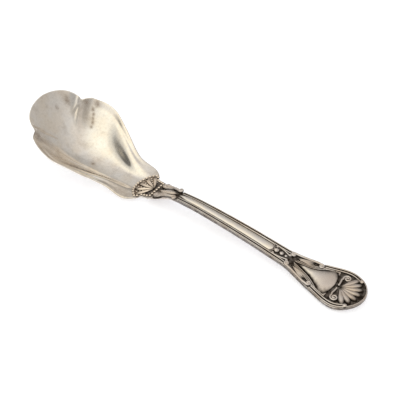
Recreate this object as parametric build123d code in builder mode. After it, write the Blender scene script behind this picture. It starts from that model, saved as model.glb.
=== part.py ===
"""Sugar spoon: a raised, lobed bowl scarf-soldered to a forged handle with applied relief.

Millimetres. +X runs from the bowl's tip to the handle's tip, +Z is up, and the spoon lies on Z = 0.
"""
import os
from math import log

from build123d import *

os.makedirs("parts", exist_ok=True)

# Lengths along the spoon, from the bowl's tip to the handle's tip
BOWL_LENGTH = 58.0
NECK_LENGTH = 13.0
STEM_LENGTH = 48.0
TERMINAL_LENGTH = 32.0

# Bowl plan: notch and lobe stand back from the tip, waist and ear from the joint
TIP_CORNER_FROM_TIP = 2.7
TIP_CORNER_WIDTH = 20.4
NOTCH_FROM_TIP = 8.2
NOTCH_WIDTH = 27.0
LOBE_FRONT_FROM_TIP = 11.5
LOBE_FRONT_WIDTH = 35.0
LOBE_FROM_TIP = 21.0
LOBE_WIDTH = 39.8
LOBE_REAR_SHARE = 3 / 7
LOBE_REAR_WIDTH = 33.6
WAIST_FROM_JOINT = 16.0
WAIST_WIDTH = 22.6
EAR_FROM_JOINT = 7.5
EAR_WIDTH = 21.4
EAR_CORNER_FROM_JOINT = 3.8
EAR_CORNER_WIDTH = 17.2
EAR_FOOT_FROM_JOINT = 2.0
EAR_FOOT_WIDTH = 11.6

# Bowl heights: the rim along the outline, and the lowest line of the hollow
TIP_HEIGHT = 24.4
NOTCH_HEIGHT = 18.6
LOBE_HEIGHT = 15.0
WAIST_HEIGHT = 4.8
EAR_HEIGHT = 2.6
JOINT_HEIGHT = 3.1
BOWL_WALL = 1.15
WORN_FLAT_DEPTH = 0.1
HEEL_THICKENING = 8.0
FLOOR_FROM_JOINT = 19.0
TIP_TROUGH_POWER = 3.25
LOBE_FRONT_RISE = 29.6
CREASE_REACH = 15.0
TIP_FLARE = 0.05
LOBE_LIP = 0.2
WAIST_LIP = 0.85

# Scarf joint
NECK_THICKNESS = 2.0
SCARF_ANGLE = 35.0
SOLDER_FILM = 0.15

# Handle plan
COLLAR_FROM_JOINT = 4.5
COLLAR_WIDTH = 9.6
NECK_MIDDLE_WIDTH = 6.6
STEM_WIDTH = 5.0
STEM_END_WIDTH = 7.0
SHOULDER_LENGTH = 13.0
SHOULDER_WIDTH = 13.1
FLARE_LENGTH = 23.0
FLARE_WIDTH = 18.1
CHEEK_FROM_TIP = 4.5
CHEEK_WIDTH = 15.2

# Handle heights: the upper face along the middle, and the thickness below it
NECK_HEIGHT = 6.0
STEM_START_HEIGHT = 6.75
STEM_CREST_FROM_START = 10.0
STEM_CREST_HEIGHT = 7.1
STEM_BACK_FROM_END = 18.0
STEM_BACK_HEIGHT = 5.75
STEM_END_HEIGHT = 3.6
STEM_THICKNESS = 2.1
TERMINAL_THICKNESS = 1.8
REST_FROM_TIP = 20.0
REST_LENGTH = 12.0
TIP_LIFT = 1.3
BACK_CHAMFER = 0.5

# Relief heights above the handle's upper face or the bowl's floor
PALMETTE_RELIEF = 0.6
HUSK_RELIEF = 0.7
SCROLL_RELIEF = 0.7
PANEL_RELIEF = 0.5
MOULDING_RELIEF = 0.5
SHELL_RELIEF = 0.9
GROOVE_DEPTH = 0.3
GROOVE_WIDTH = 0.28
EDGE_INSET = 0.1

# Heel palmette
PALMETTE_LOBES = 5
PALMETTE_PAST_JOINT = 0.5
PALMETTE_LOBE_LENGTH = 8.0
PALMETTE_LOBE_WIDTH = 2.7
PALMETTE_SPREAD = 110.0
PALMETTE_HEART = 1.5
PALMETTE_SOLDER = 0.03

# Neck husk and collar scrolls
HUSK_FROM_JOINT = 3.4
HUSK_LENGTH = 8.6
HUSK_WIDTH = 3.2
COLLAR_BAND = 0.9
COLLAR_EYE = 0.85

# Stem panel and mouldings
PANEL_WIDTH = 2.2
PANEL_END_WIDTH = 3.2
PANEL_POINT = 5.0
PANEL_END_CLEAR = 5.0
MOULDING_WIDTH = 1.0

# Bead drop
BEAD_RADII = (1.0, 0.85, 0.65)
BEAD_GAP = 0.35
BEAD_SINK = 0.2

# Terminal relief
SHOULDER_BAND = 1.0
SHOULDER_EYE = 1.0
BORDER_WIDTH = 1.0
BORDER_END_FROM_TIP = 7.0
PEAR_FROM_STEM = 4.6
PEAR_NECK_FROM_STEM = 11.5
PEAR_NECK_WIDTH = 4.0
PEAR_BELLY_FROM_STEM = 17.6
PEAR_WIDTH = 12.4
PEAR_END_GAP = 0.4
SHELL_FLUTES = 7
SHELL_FROM_TIP = 9.6
SHELL_FLUTE_LENGTH = 7.6
SHELL_FLUTE_WIDTH = 2.6
SHELL_SPREAD = 116.0
SHELL_HEART = 1.6
SHELL_GROOVE_START = 2.6

# Distances from the bowl's tip that several pieces share
STEM_START = BOWL_LENGTH + NECK_LENGTH
STEM_END = STEM_START + STEM_LENGTH
LENGTH = STEM_END + TERMINAL_LENGTH
FLOOR_AT = BOWL_LENGTH - FLOOR_FROM_JOINT
FLOOR_HEIGHT = BOWL_WALL - WORN_FLAT_DEPTH
WAIST_AT = BOWL_LENGTH - WAIST_FROM_JOINT
LOBE_REAR_AT = LOBE_FROM_TIP + (WAIST_AT - LOBE_FROM_TIP) * LOBE_REAR_SHARE
COLLAR_AT = BOWL_LENGTH + COLLAR_FROM_JOINT
NECK_MIDDLE = (COLLAR_AT + STEM_START) / 2
REST_START = LENGTH - REST_FROM_TIP
REST_END = REST_START + REST_LENGTH

# Directions in which curves leave or reach a point
TIP_LOBE_INTO_NOTCH = (4, 1)
NECK_FROM_COLLAR = (1, -0.2)
BACK_INTO_TIP = (2, 1)
PANEL_FROM_POINT = (1, 1)
PEAR_FROM_POINT = (4, 1)

# Slopes that tell a face that looks down from one that stands upright
LOOKS_DOWN = -0.5
STANDS_UPRIGHT = 0.1

# Spare reach of cutting bodies past what they cut, and points on each hollow and curve
SPARE = 4.0
SIDE_ROWS = 20
SIDE_COLUMNS = 11
TIP_ROWS = 10
TIP_COLUMNS = 7
FACE_TOLERANCE = 0.03
NECK_KNOTS = 5
BORDER_KNOTS = 4


def along(distance):
    """X of a point at a distance from the bowl's tip."""
    return distance - LENGTH / 2


def ease(position, knots):
    """Smooth curve through (position, value) knots, held level past both ends."""
    if position <= knots[0][0]:
        return knots[0][1]
    if position >= knots[-1][0]:
        return knots[-1][1]
    slopes = []
    for index in range(len(knots)):
        before = knots[max(index - 1, 0)]
        after = knots[min(index + 1, len(knots) - 1)]
        slopes.append((after[1] - before[1]) / (after[0] - before[0]))
    index = max(i for i in range(len(knots) - 1) if knots[i][0] <= position)
    (start, low), (end, high) = knots[index], knots[index + 1]
    span = end - start
    t = (position - start) / span
    hermite = (2 * t**3 - 3 * t**2 + 1) * low + (3 * t**2 - 2 * t**3) * high
    return hermite + span * ((t**3 - 2 * t**2 + t) * slopes[index] + (t**3 - t**2) * slopes[index + 1])


# Bowl surfaces
HALF_WIDTHS = [
    (NOTCH_FROM_TIP, NOTCH_WIDTH / 2),
    (LOBE_FRONT_FROM_TIP, LOBE_FRONT_WIDTH / 2),
    (LOBE_FROM_TIP, LOBE_WIDTH / 2),
    (LOBE_REAR_AT, LOBE_REAR_WIDTH / 2),
    (WAIST_AT, WAIST_WIDTH / 2),
    (BOWL_LENGTH - EAR_FROM_JOINT, EAR_WIDTH / 2),
]
RIM_HEIGHTS = [
    (NOTCH_FROM_TIP, NOTCH_HEIGHT),
    (LOBE_FROM_TIP, LOBE_HEIGHT),
    (WAIST_AT, WAIST_HEIGHT),
    (BOWL_LENGTH - EAR_FROM_JOINT, EAR_HEIGHT),
    (BOWL_LENGTH, JOINT_HEIGHT),
]
LIPS = [
    (NOTCH_FROM_TIP, 0.0),
    (LOBE_FROM_TIP, LOBE_LIP),
    (WAIST_AT, WAIST_LIP),
]
WALLS = [
    (BOWL_LENGTH - HEEL_THICKENING, BOWL_WALL),
    (BOWL_LENGTH, NECK_THICKNESS),
]
TIP_RISE = TIP_HEIGHT - FLOOR_HEIGHT
CREASE_SHARE = (FLOOR_AT - CREASE_REACH) / FLOOR_AT
CREASE_RISE = TIP_RISE * CREASE_SHARE**TIP_TROUGH_POWER
LOBE_POWER = log(LOBE_FRONT_RISE / CREASE_RISE) / -log(CREASE_SHARE)


def front_wall(distance, rise, power):
    """Height of the hollow's middle line between its lowest point and the tip."""
    return FLOOR_HEIGHT + rise * (max(FLOOR_AT - distance, 0.0) / FLOOR_AT) ** power


def heel_line(distance):
    """Height of the middle line from the hollow's lowest point up on to the neck."""
    run = max(distance - FLOOR_AT, 0.0) / FLOOR_FROM_JOINT
    return FLOOR_HEIGHT + (JOINT_HEIGHT - FLOOR_HEIGHT) * run**2


def tip_trough(distance, y):
    """Upper face of the tip lobe."""
    middle = front_wall(distance, TIP_RISE, TIP_TROUGH_POWER)
    notch_middle = front_wall(NOTCH_FROM_TIP, TIP_RISE, TIP_TROUGH_POWER)
    bend = (NOTCH_HEIGHT - notch_middle) / (NOTCH_WIDTH / 2) ** 2
    return middle + bend * (1 + TIP_FLARE * (distance - NOTCH_FROM_TIP)) * y**2


def side_hollow(distance, share):
    """Upper face of the side lobes, waist and heel, at a share of the half width."""
    middle = front_wall(distance, LOBE_FRONT_RISE, LOBE_POWER)
    if distance > FLOOR_AT:
        middle = heel_line(distance)
    notch_middle = front_wall(NOTCH_FROM_TIP, LOBE_FRONT_RISE, LOBE_POWER)
    depth = ease(distance, RIM_HEIGHTS) - middle
    if distance < NOTCH_FROM_TIP:
        depth = NOTCH_HEIGHT - notch_middle
    if distance > BOWL_LENGTH:
        depth = 0.0
    lip = ease(distance, LIPS)
    rise = (1 - lip) * share**2 + lip * (3 * share**2 - 2 * abs(share) ** 3)
    return middle + depth * rise


def stations(start, end, count):
    """Evenly spaced values from start to end."""
    return [start + (end - start) * i / (count - 1) for i in range(count)]


def side_face(walls, spare):
    """Face over the side lobes and heel, this many walls down, reaching past the outline by the spare."""
    rows = []
    reach = 1 + spare / NOTCH_WIDTH
    for distance in stations(NOTCH_FROM_TIP / 2 - spare / 4, COLLAR_AT + spare, SIDE_ROWS):
        row = []
        for share in stations(-reach, reach, SIDE_COLUMNS):
            height = side_hollow(distance, share) - walls * ease(distance, WALLS)
            row.append((along(distance), share * ease(distance, HALF_WIDTHS), height))
        rows.append(row)
    return Face.make_surface_from_array_of_points(rows, tol=FACE_TOLERANCE, min_deg=3, max_deg=3)


def tip_face(walls, spare):
    """Face over the tip lobe, this many walls down, reaching past the outline by the spare."""
    rows = []
    reach = NOTCH_WIDTH / 2 + spare
    for distance in stations(-spare, LOBE_FROM_TIP + spare, TIP_ROWS):
        row = []
        for y in stations(-reach, reach, TIP_COLUMNS):
            row.append((along(distance), y, tip_trough(distance, y) - walls * BOWL_WALL))
        rows.append(row)
    return Face.make_surface_from_array_of_points(rows, tol=FACE_TOLERANCE, min_deg=3, max_deg=3)


def export(piece, name):
    """Label a finished piece and write its STEP file."""
    piece.part.label = name
    export_step(piece.part, f"parts/{name}.step")


UP = (0, 0, 1)
ROOM = 2 * TIP_HEIGHT
SCARF_NORMAL = Vector(1, 0, 0).rotate(Axis.Y, SCARF_ANGLE - 90)
SCARF_MIDDLE = Vector(along(BOWL_LENGTH), 0, JOINT_HEIGHT - NECK_THICKNESS / 2)
BOWL_CUT = Plane(origin=SCARF_MIDDLE - SCARF_NORMAL * SOLDER_FILM / 2, z_dir=SCARF_NORMAL)
HANDLE_CUT = Plane(origin=SCARF_MIDDLE + SCARF_NORMAL * SOLDER_FILM / 2, z_dir=SCARF_NORMAL)

EAR_FOOT = (along(BOWL_LENGTH - EAR_FOOT_FROM_JOINT), EAR_FOOT_WIDTH / 2)
COLLAR = (along(COLLAR_AT), COLLAR_WIDTH / 2)

# Bowl: a tip trough and a side hollow meet in two creases, trimmed to the lobed outline and the scarf
with BuildPart() as bowl:
    extrude(side_face(1, SPARE / 2), amount=ROOM, dir=UP)
    extrude(tip_face(1, SPARE / 2), amount=ROOM, dir=UP)
    extrude(side_face(0, SPARE), amount=ROOM + SPARE, dir=UP, mode=Mode.SUBTRACT)
    extrude(tip_face(0, SPARE), amount=ROOM + SPARE, dir=UP, mode=Mode.SUBTRACT)
    with BuildSketch():
        with BuildLine():
            tip_lobe = Spline(
                (along(0), 0),
                (along(TIP_CORNER_FROM_TIP), TIP_CORNER_WIDTH / 2),
                (along(NOTCH_FROM_TIP), NOTCH_WIDTH / 2),
                tangents=[(0, 1), TIP_LOBE_INTO_NOTCH],
            )
            Spline(
                tip_lobe @ 1,
                (along(LOBE_FRONT_FROM_TIP), LOBE_FRONT_WIDTH / 2),
                (along(LOBE_FROM_TIP), LOBE_WIDTH / 2),
                (along(LOBE_REAR_AT), LOBE_REAR_WIDTH / 2),
                (along(WAIST_AT), WAIST_WIDTH / 2),
                (along(BOWL_LENGTH - EAR_FROM_JOINT), EAR_WIDTH / 2),
                (along(BOWL_LENGTH - EAR_CORNER_FROM_JOINT), EAR_CORNER_WIDTH / 2),
                EAR_FOOT,
            )
            Line(EAR_FOOT, COLLAR)
            Line(COLLAR, (COLLAR[0], 0))
            mirror(about=Plane.XZ)
        make_face()
    extrude(amount=ROOM, both=True, mode=Mode.INTERSECT)
    split(bisect_by=BOWL_CUT, keep=Keep.BOTTOM)
    split(bisect_by=Plane.XY, keep=Keep.TOP)
export(bowl, "bowl")

# Handle: side profile and plan outline meet in one forged blank
CROWN = [(distance, heel_line(distance)) for distance in stations(BOWL_LENGTH - SPARE, COLLAR_AT, NECK_KNOTS)]
CROWN += [
    (NECK_MIDDLE, NECK_HEIGHT),
    (STEM_START, STEM_START_HEIGHT),
    (STEM_START + STEM_CREST_FROM_START, STEM_CREST_HEIGHT),
    (STEM_END - STEM_BACK_FROM_END, STEM_BACK_HEIGHT),
    (STEM_END, STEM_END_HEIGHT),
    (REST_START, TERMINAL_THICKNESS),
    (REST_END, TERMINAL_THICKNESS),
    (LENGTH, TERMINAL_THICKNESS + TIP_LIFT),
]
CROWN_POINTS = [(along(distance), height) for distance, height in CROWN]
BACK_POINTS = [(along(d), height - NECK_THICKNESS) for d, height in CROWN if d <= COLLAR_AT]
BACK_POINTS += [(along(d), height - STEM_THICKNESS) for d, height in CROWN if COLLAR_AT < d <= STEM_END]

with BuildPart() as handle:
    with BuildSketch(Plane.XZ):
        with BuildLine():
            crown_line = Spline(*CROWN_POINTS)
            back_line = Spline(*BACK_POINTS, (along(REST_START), 0))
            rest_line = Line((along(REST_START), 0), (along(REST_END), 0))
            tip_line = Spline(rest_line @ 1, (along(LENGTH), TIP_LIFT), tangents=[(1, 0), BACK_INTO_TIP])
            Line(crown_line @ 0, back_line @ 0)
            Line(crown_line @ 1, tip_line @ 1)
        make_face()
    extrude(amount=FLARE_WIDTH, both=True)
    with BuildSketch():
        with BuildLine():
            neck_line = Line((along(BOWL_LENGTH - SPARE), EAR_FOOT_WIDTH / 2), EAR_FOOT)
            Line(EAR_FOOT, COLLAR)
            stem_edge = Line((along(STEM_START), STEM_WIDTH / 2), (along(STEM_END), STEM_END_WIDTH / 2))
            Spline(
                COLLAR,
                (along(NECK_MIDDLE), NECK_MIDDLE_WIDTH / 2),
                stem_edge @ 0,
                tangents=[NECK_FROM_COLLAR, stem_edge % 0],
            )
            Spline(
                stem_edge @ 1,
                (along(STEM_END + SHOULDER_LENGTH), SHOULDER_WIDTH / 2),
                (along(STEM_END + FLARE_LENGTH), FLARE_WIDTH / 2),
                (along(LENGTH - CHEEK_FROM_TIP), CHEEK_WIDTH / 2),
                (along(LENGTH), 0),
                tangents=[stem_edge % 1, (0, -1)],
            )
            Line(neck_line @ 0, (along(BOWL_LENGTH - SPARE), 0))
            mirror(about=Plane.XZ)
        make_face()
    extrude(amount=ROOM, both=True, mode=Mode.INTERSECT)
    split(bisect_by=HANDLE_CUT, keep=Keep.TOP)
    back_faces = handle.faces().filter_by(lambda face: face.normal_at().Z < LOOKS_DOWN)
    side_faces = handle.faces().filter_by(lambda face: abs(face.normal_at().Z) < STANDS_UPRIGHT)
    back_edges = [edge for edge in back_faces.edges() if edge in side_faces.edges()]
    chamfer(back_edges, length=BACK_CHAMFER)
export(handle, "handle")

# Solder film: the neck's own section between the two scarf faces
with BuildPart() as solder_seam:
    with BuildSketch(Plane.XZ):
        with BuildLine():
            seam_crown = Spline(*CROWN_POINTS)
            seam_back = Spline(*[(x, z - NECK_THICKNESS) for x, z in CROWN_POINTS])
            Line(seam_crown @ 0, seam_back @ 0)
            Line(seam_crown @ 1, seam_back @ 1)
        make_face()
    extrude(amount=EAR_FOOT_WIDTH, both=True)
    with BuildSketch():
        with BuildLine():
            Line((along(BOWL_LENGTH - SPARE), 0), (along(BOWL_LENGTH - SPARE), EAR_FOOT_WIDTH / 2))
            Line((along(BOWL_LENGTH - SPARE), EAR_FOOT_WIDTH / 2), EAR_FOOT)
            Line(EAR_FOOT, COLLAR)
            Line(COLLAR, (COLLAR[0], 0))
            mirror(about=Plane.XZ)
        make_face()
    extrude(amount=ROOM, both=True, mode=Mode.INTERSECT)
    split(bisect_by=BOWL_CUT, keep=Keep.TOP)
    split(bisect_by=HANDLE_CUT, keep=Keep.BOTTOM)
export(solder_seam, "solder_seam")


def crown_band(bottom, top):
    """Slab that follows the handle's upper face, between two heights above it."""
    with BuildPart() as band:
        with BuildSketch(Plane.XZ):
            with BuildLine():
                low = Spline(*[(x, z + bottom) for x, z in CROWN_POINTS])
                high = Spline(*[(x, z + top) for x, z in CROWN_POINTS])
                Line(low @ 0, high @ 0)
                Line(low @ 1, high @ 1)
            make_face()
        extrude(amount=FLARE_WIDTH, both=True)
    return band.part


def half_width(distance):
    """Half width of the handle's outline along the stem and terminal."""
    knots = [
        (STEM_START, STEM_WIDTH / 2),
        (STEM_END, STEM_END_WIDTH / 2),
        (STEM_END + SHOULDER_LENGTH, SHOULDER_WIDTH / 2),
        (STEM_END + FLARE_LENGTH, FLARE_WIDTH / 2),
        (LENGTH - CHEEK_FROM_TIP, CHEEK_WIDTH / 2),
    ]
    return ease(distance, knots)


# Heel palmette: a fan of lobes laid over the joint and the bowl's floor
heel_face = side_face(0, SPARE).moved(Location((0, 0, PALMETTE_SOLDER)))
heel_slab = Solid.extrude(heel_face, Vector(0, 0, PALMETTE_RELIEF))
with BuildPart() as heel_palmette:
    with BuildSketch():
        with Locations((along(BOWL_LENGTH + PALMETTE_PAST_JOINT), 0)):
            with PolarLocations(
                PALMETTE_LOBE_LENGTH / 2,
                PALMETTE_LOBES,
                start_angle=180 - PALMETTE_SPREAD / 2,
                angular_range=PALMETTE_SPREAD,
                endpoint=True,
            ):
                Ellipse(PALMETTE_LOBE_LENGTH / 2, PALMETTE_LOBE_WIDTH / 2)
            Circle(PALMETTE_HEART)
    extrude(amount=ROOM, both=True)
    add(heel_slab, mode=Mode.INTERSECT)
export(heel_palmette, "heel_palmette")

husk_band = crown_band(0, HUSK_RELIEF)
scroll_band = crown_band(0, SCROLL_RELIEF)
panel_band = crown_band(0, PANEL_RELIEF)
moulding_band = crown_band(0, MOULDING_RELIEF)
moulding_groove_band = crown_band(MOULDING_RELIEF - GROOVE_DEPTH, MOULDING_RELIEF + SPARE)
shell_band = crown_band(0, SHELL_RELIEF)
shell_groove_band = crown_band(SHELL_RELIEF - GROOVE_DEPTH, SHELL_RELIEF + SPARE)
bead_band = crown_band(0, SPARE)

# Neck husk: a pointed leaf on the neck
with BuildPart() as neck_husk:
    with BuildSketch():
        with BuildLine():
            husk_start = (along(BOWL_LENGTH + HUSK_FROM_JOINT), 0)
            husk_middle = (along(BOWL_LENGTH + HUSK_FROM_JOINT + HUSK_LENGTH / 2), HUSK_WIDTH / 2)
            husk_end = (along(BOWL_LENGTH + HUSK_FROM_JOINT + HUSK_LENGTH), 0)
            ThreePointArc(husk_start, husk_middle, husk_end)
            mirror(about=Plane.XZ)
        make_face()
    extrude(amount=ROOM, both=True)
    add(husk_band, mode=Mode.INTERSECT)
export(neck_husk, "neck_husk")

# Stem panel: a lancet with a round end
with BuildPart() as stem_panel:
    with BuildSketch():
        with BuildLine():
            panel_start = (along(STEM_START + PANEL_POINT), PANEL_WIDTH / 2)
            panel_end = (along(STEM_END - PANEL_END_CLEAR - PANEL_END_WIDTH / 2), PANEL_END_WIDTH / 2)
            panel_side = Line(panel_start, panel_end)
            Spline((along(STEM_START), 0), panel_start, tangents=[PANEL_FROM_POINT, panel_side % 0])
            RadiusArc(panel_end, (along(STEM_END - PANEL_END_CLEAR), 0), PANEL_END_WIDTH / 2)
            mirror(about=Plane.XZ)
        make_face()
    extrude(amount=ROOM, both=True)
    add(panel_band, mode=Mode.INTERSECT)
export(stem_panel, "stem_panel")

# Bead drop: graduated domes below the panel
with BuildPart() as bead_drop:
    bead_at = STEM_END - PANEL_END_CLEAR + BEAD_GAP
    for radius in BEAD_RADII:
        with Locations((along(bead_at + radius), 0, ease(bead_at + radius, CROWN) - BEAD_SINK)):
            Sphere(radius)
        bead_at += 2 * radius + BEAD_GAP
    add(bead_band, mode=Mode.INTERSECT)
export(bead_drop, "bead_drop")

# Terminal panel: a plain pear
with BuildPart() as terminal_panel:
    with BuildSketch():
        with BuildLine():
            Spline(
                (along(STEM_END + PEAR_FROM_STEM), 0),
                (along(STEM_END + PEAR_NECK_FROM_STEM), PEAR_NECK_WIDTH / 2),
                (along(STEM_END + PEAR_BELLY_FROM_STEM), PEAR_WIDTH / 2),
                (along(LENGTH - SHELL_FROM_TIP - SHELL_HEART - PEAR_END_GAP), 0),
                tangents=[PEAR_FROM_POINT, (0, -1)],
            )
            mirror(about=Plane.XZ)
        make_face()
    extrude(amount=ROOM, both=True)
    add(panel_band, mode=Mode.INTERSECT)
export(terminal_panel, "terminal_panel")

# Tip shell: a fan of flutes with grooves between them
SHELL_ROOT = (along(LENGTH - SHELL_FROM_TIP), 0)
SHELL_STEP = SHELL_SPREAD / (SHELL_FLUTES - 1)
with BuildPart() as shell_grooves:
    with BuildSketch():
        with Locations(SHELL_ROOT):
            with PolarLocations(
                SHELL_GROOVE_START + SHELL_FLUTE_LENGTH / 2,
                SHELL_FLUTES - 1,
                start_angle=-SHELL_SPREAD / 2 + SHELL_STEP / 2,
                angular_range=SHELL_SPREAD - SHELL_STEP,
                endpoint=True,
            ):
                Rectangle(SHELL_FLUTE_LENGTH, GROOVE_WIDTH)
    extrude(amount=ROOM, both=True)
    add(shell_groove_band, mode=Mode.INTERSECT)
with BuildPart() as tip_shell:
    with BuildSketch():
        with Locations(SHELL_ROOT):
            with PolarLocations(
                SHELL_FLUTE_LENGTH / 2,
                SHELL_FLUTES,
                start_angle=-SHELL_SPREAD / 2,
                angular_range=SHELL_SPREAD,
                endpoint=True,
            ):
                Ellipse(SHELL_FLUTE_LENGTH / 2, SHELL_FLUTE_WIDTH / 2)
            Circle(SHELL_HEART)
    extrude(amount=ROOM, both=True)
    add(shell_band, mode=Mode.INTERSECT)
    add(shell_grooves.part, mode=Mode.SUBTRACT)
export(tip_shell, "tip_shell")


def ribbon(points, width, band):
    """Strip of one width along a plan curve, as high as the band."""
    with BuildPart() as strip:
        with BuildSketch():
            with BuildLine():
                Spline(*points)
            trace(line_width=width)
        extrude(amount=ROOM, both=True)
        add(band, mode=Mode.INTERSECT)
    return strip.part


def reeded(points, width):
    """Strip with a groove along its middle."""
    strip = ribbon(points, width, moulding_band)
    groove = ribbon(points, GROOVE_WIDTH, moulding_groove_band)
    with BuildPart() as reeds:
        add(strip)
        add(groove, mode=Mode.SUBTRACT)
    return reeds


def scroll(points, width, eye):
    """Strip that ends in a round eye at each end."""
    strip = ribbon(points, width, scroll_band)
    with BuildPart() as curl:
        with BuildSketch():
            with Locations(points[0], points[-1]):
                Circle(eye)
        extrude(amount=ROOM, both=True)
        add(scroll_band, mode=Mode.INTERSECT)
        add(strip)
    return curl


def edge_point(distance, inset, side):
    """Plan point inside the handle's edge."""
    return (along(distance), side * (half_width(distance) - inset))


# Paired relief along both edges
for side, hand in ((-1, "left"), (1, "right")):
    inset = COLLAR_BAND / 2 + EDGE_INSET
    collar_points = [
        (along(COLLAR_AT - COLLAR_EYE), side * (COLLAR_WIDTH / 2 - inset - COLLAR_EYE)),
        (along(COLLAR_AT + COLLAR_EYE), side * (COLLAR_WIDTH / 2 - inset - COLLAR_EYE / 2)),
        (along(NECK_MIDDLE), side * (NECK_MIDDLE_WIDTH / 2 - inset)),
        (along(STEM_START - COLLAR_EYE), side * (STEM_WIDTH / 2 - EDGE_INSET)),
    ]
    export(scroll(collar_points, COLLAR_BAND, COLLAR_EYE), f"collar_scroll_{hand}")

    inset = MOULDING_WIDTH / 2 + EDGE_INSET
    moulding_ends = (STEM_START + COLLAR_EYE, STEM_END)
    moulding_points = [edge_point(distance, inset, side) for distance in moulding_ends]
    export(reeded(moulding_points, MOULDING_WIDTH), f"stem_moulding_{hand}")

    inset = SHOULDER_BAND / 2 - EDGE_INSET
    shoulder_points = [
        (along(STEM_END + SHOULDER_EYE * 2), side * (STEM_END_WIDTH / 2 - SHOULDER_EYE)),
        edge_point(STEM_END + SHOULDER_EYE * 4, inset, side),
        edge_point(STEM_END + SHOULDER_LENGTH - SHOULDER_EYE * 4, inset, side),
        edge_point(STEM_END + SHOULDER_LENGTH - SHOULDER_EYE, inset + SHOULDER_EYE / 2, side),
        edge_point(STEM_END + SHOULDER_LENGTH, inset + SHOULDER_EYE * 3 / 2, side),
    ]
    export(scroll(shoulder_points, SHOULDER_BAND, SHOULDER_EYE), f"shoulder_scroll_{hand}")

    inset = BORDER_WIDTH / 2 + EDGE_INSET
    border_ends = (STEM_END + SHOULDER_LENGTH + SHOULDER_EYE * 2, LENGTH - BORDER_END_FROM_TIP)
    border_points = [edge_point(distance, inset, side) for distance in stations(*border_ends, BORDER_KNOTS)]
    export(reeded(border_points, BORDER_WIDTH), f"border_{hand}")
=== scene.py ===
"""Looks of the sugar spoon: a raised silver bowl, a forged handle and the relief soldered to it.

Metres. +X runs from the bowl's tip to the handle's tip, +Z is up, and the spoon lies on Z = 0.
"""
from math import cos, log, pi, radians, sin

import bmesh
import bpy
import numpy as np
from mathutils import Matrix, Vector


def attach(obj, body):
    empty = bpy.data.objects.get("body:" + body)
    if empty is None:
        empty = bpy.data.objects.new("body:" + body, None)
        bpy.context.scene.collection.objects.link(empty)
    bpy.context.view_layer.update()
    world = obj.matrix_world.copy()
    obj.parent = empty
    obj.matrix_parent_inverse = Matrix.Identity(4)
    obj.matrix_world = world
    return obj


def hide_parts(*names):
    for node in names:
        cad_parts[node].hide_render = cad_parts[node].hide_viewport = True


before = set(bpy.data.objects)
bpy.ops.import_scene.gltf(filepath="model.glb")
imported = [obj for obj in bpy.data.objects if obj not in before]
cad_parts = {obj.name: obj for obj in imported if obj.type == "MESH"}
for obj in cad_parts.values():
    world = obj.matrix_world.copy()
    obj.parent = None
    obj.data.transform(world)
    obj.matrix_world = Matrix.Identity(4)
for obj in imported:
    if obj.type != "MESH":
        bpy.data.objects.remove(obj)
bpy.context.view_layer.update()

bl_info = {
    "name": "Sugar spoon",
    "version": (1, 0, 0),
    "blender": (4, 5, 0),
    "location": "View3D > Sidebar > Spoon",
    "description": "Builds a silver sugar spoon with a lobed bowl and relief on the handle",
    "category": "Object",
}

MM = 0.001
HANDS = ((-1, "left"), (1, "right"))

# Lengths from the bowl's tip
BOWL_LENGTH = 58.0 * MM
STEM_START = 71.0 * MM
STEM_END = 119.0 * MM
LENGTH = 151.0 * MM
COLLAR_AT = 62.5 * MM
SCARF_START = 51.0 * MM

# Bowl
NOTCH = 8.2 * MM
NOTCH_HALF_WIDTH = 13.5 * MM
TIP_RUN = 12.68 * MM
TIP_ROUND = 2.38
TIP_SLOPE = 0.1
LOBE = 21.0 * MM
LOBE_REAR = 30.0 * MM
WAIST = 42.0 * MM
FLOOR_AT = 39.0 * MM
FLOOR_EASE = 3.0 * MM
FLOOR_HEIGHT = 1.05 * MM
TIP_HEIGHT = 24.4 * MM
NOTCH_HEIGHT = 18.6 * MM
JOINT_HEIGHT = 3.1 * MM
TIP_TROUGH_POWER = 3.25
LOBE_FRONT_RISE = 29.6 * MM
CREASE_REACH = 15.0 * MM
TROUGH_END = 25.0 * MM
TIP_FLARE = 0.05 / MM
WALL_FOOT = 0.2
RIDGE_HEIGHT = 0.42 * MM
RIDGE_SPREAD = 1.0 * MM
RIDGE_END = 2.0 * MM
RIDGE_FULL = 9.0 * MM
LEAST_SLOPE = 0.02
LIP_AT = 2.0 * MM
LIP_SPREAD = 0.8 * MM
LIP_ROUND = 0.575 * MM
BEND_REACH = 1.5 * MM

# Handle and scarf joint
NECK_THICKNESS = 2.0 * MM
SCARF_ANGLE = radians(35)
SOLDER_FILM = 0.15 * MM
SOLDER_FILED = 0.05 * MM
STEM_HALF_WIDTH = 2.5 * MM
STEM_WIDENING = 1.0 * MM
FLARE = 142.0 * MM
FLARE_HALF_WIDTH = 9.05 * MM
TERMINAL_ROUND = 1.76

# Relief
PALMETTE_ROOT = 58.5 * MM
PALMETTE_REACH = 8.0 * MM
PALMETTE_PETALS = 5
PALMETTE_PETAL_WIDTH = 2.0 * MM
PALMETTE_SPREAD = radians(110)
HUSK_START = 61.4 * MM
HUSK_END = 70.0 * MM
HUSK_HALF_WIDTH = 1.6 * MM
PANEL_POINT = 76.0 * MM
PANEL_SIDE_END = 112.4 * MM
PANEL_END = 114.0 * MM
PANEL_HALF_WIDTH = 1.1 * MM
PANEL_END_HALF_WIDTH = 1.6 * MM
PANEL_SINK = 0.1 * MM
PEAR_START = 123.6 * MM
PEAR_NECK = 130.5 * MM
PEAR_NECK_HALF_WIDTH = 2.0 * MM
PEAR_BELLY = 136.6 * MM
PEAR_HALF_WIDTH = 6.2 * MM
PEAR_END = 139.4 * MM
SHELL_ROOT = 141.4 * MM
SHELL_REACH = 8.2 * MM
SHELL_FLUTES = 7
SHELL_FLUTE_WIDTH = 2.7 * MM
SHELL_HALF_SPREAD = radians(58)
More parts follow.
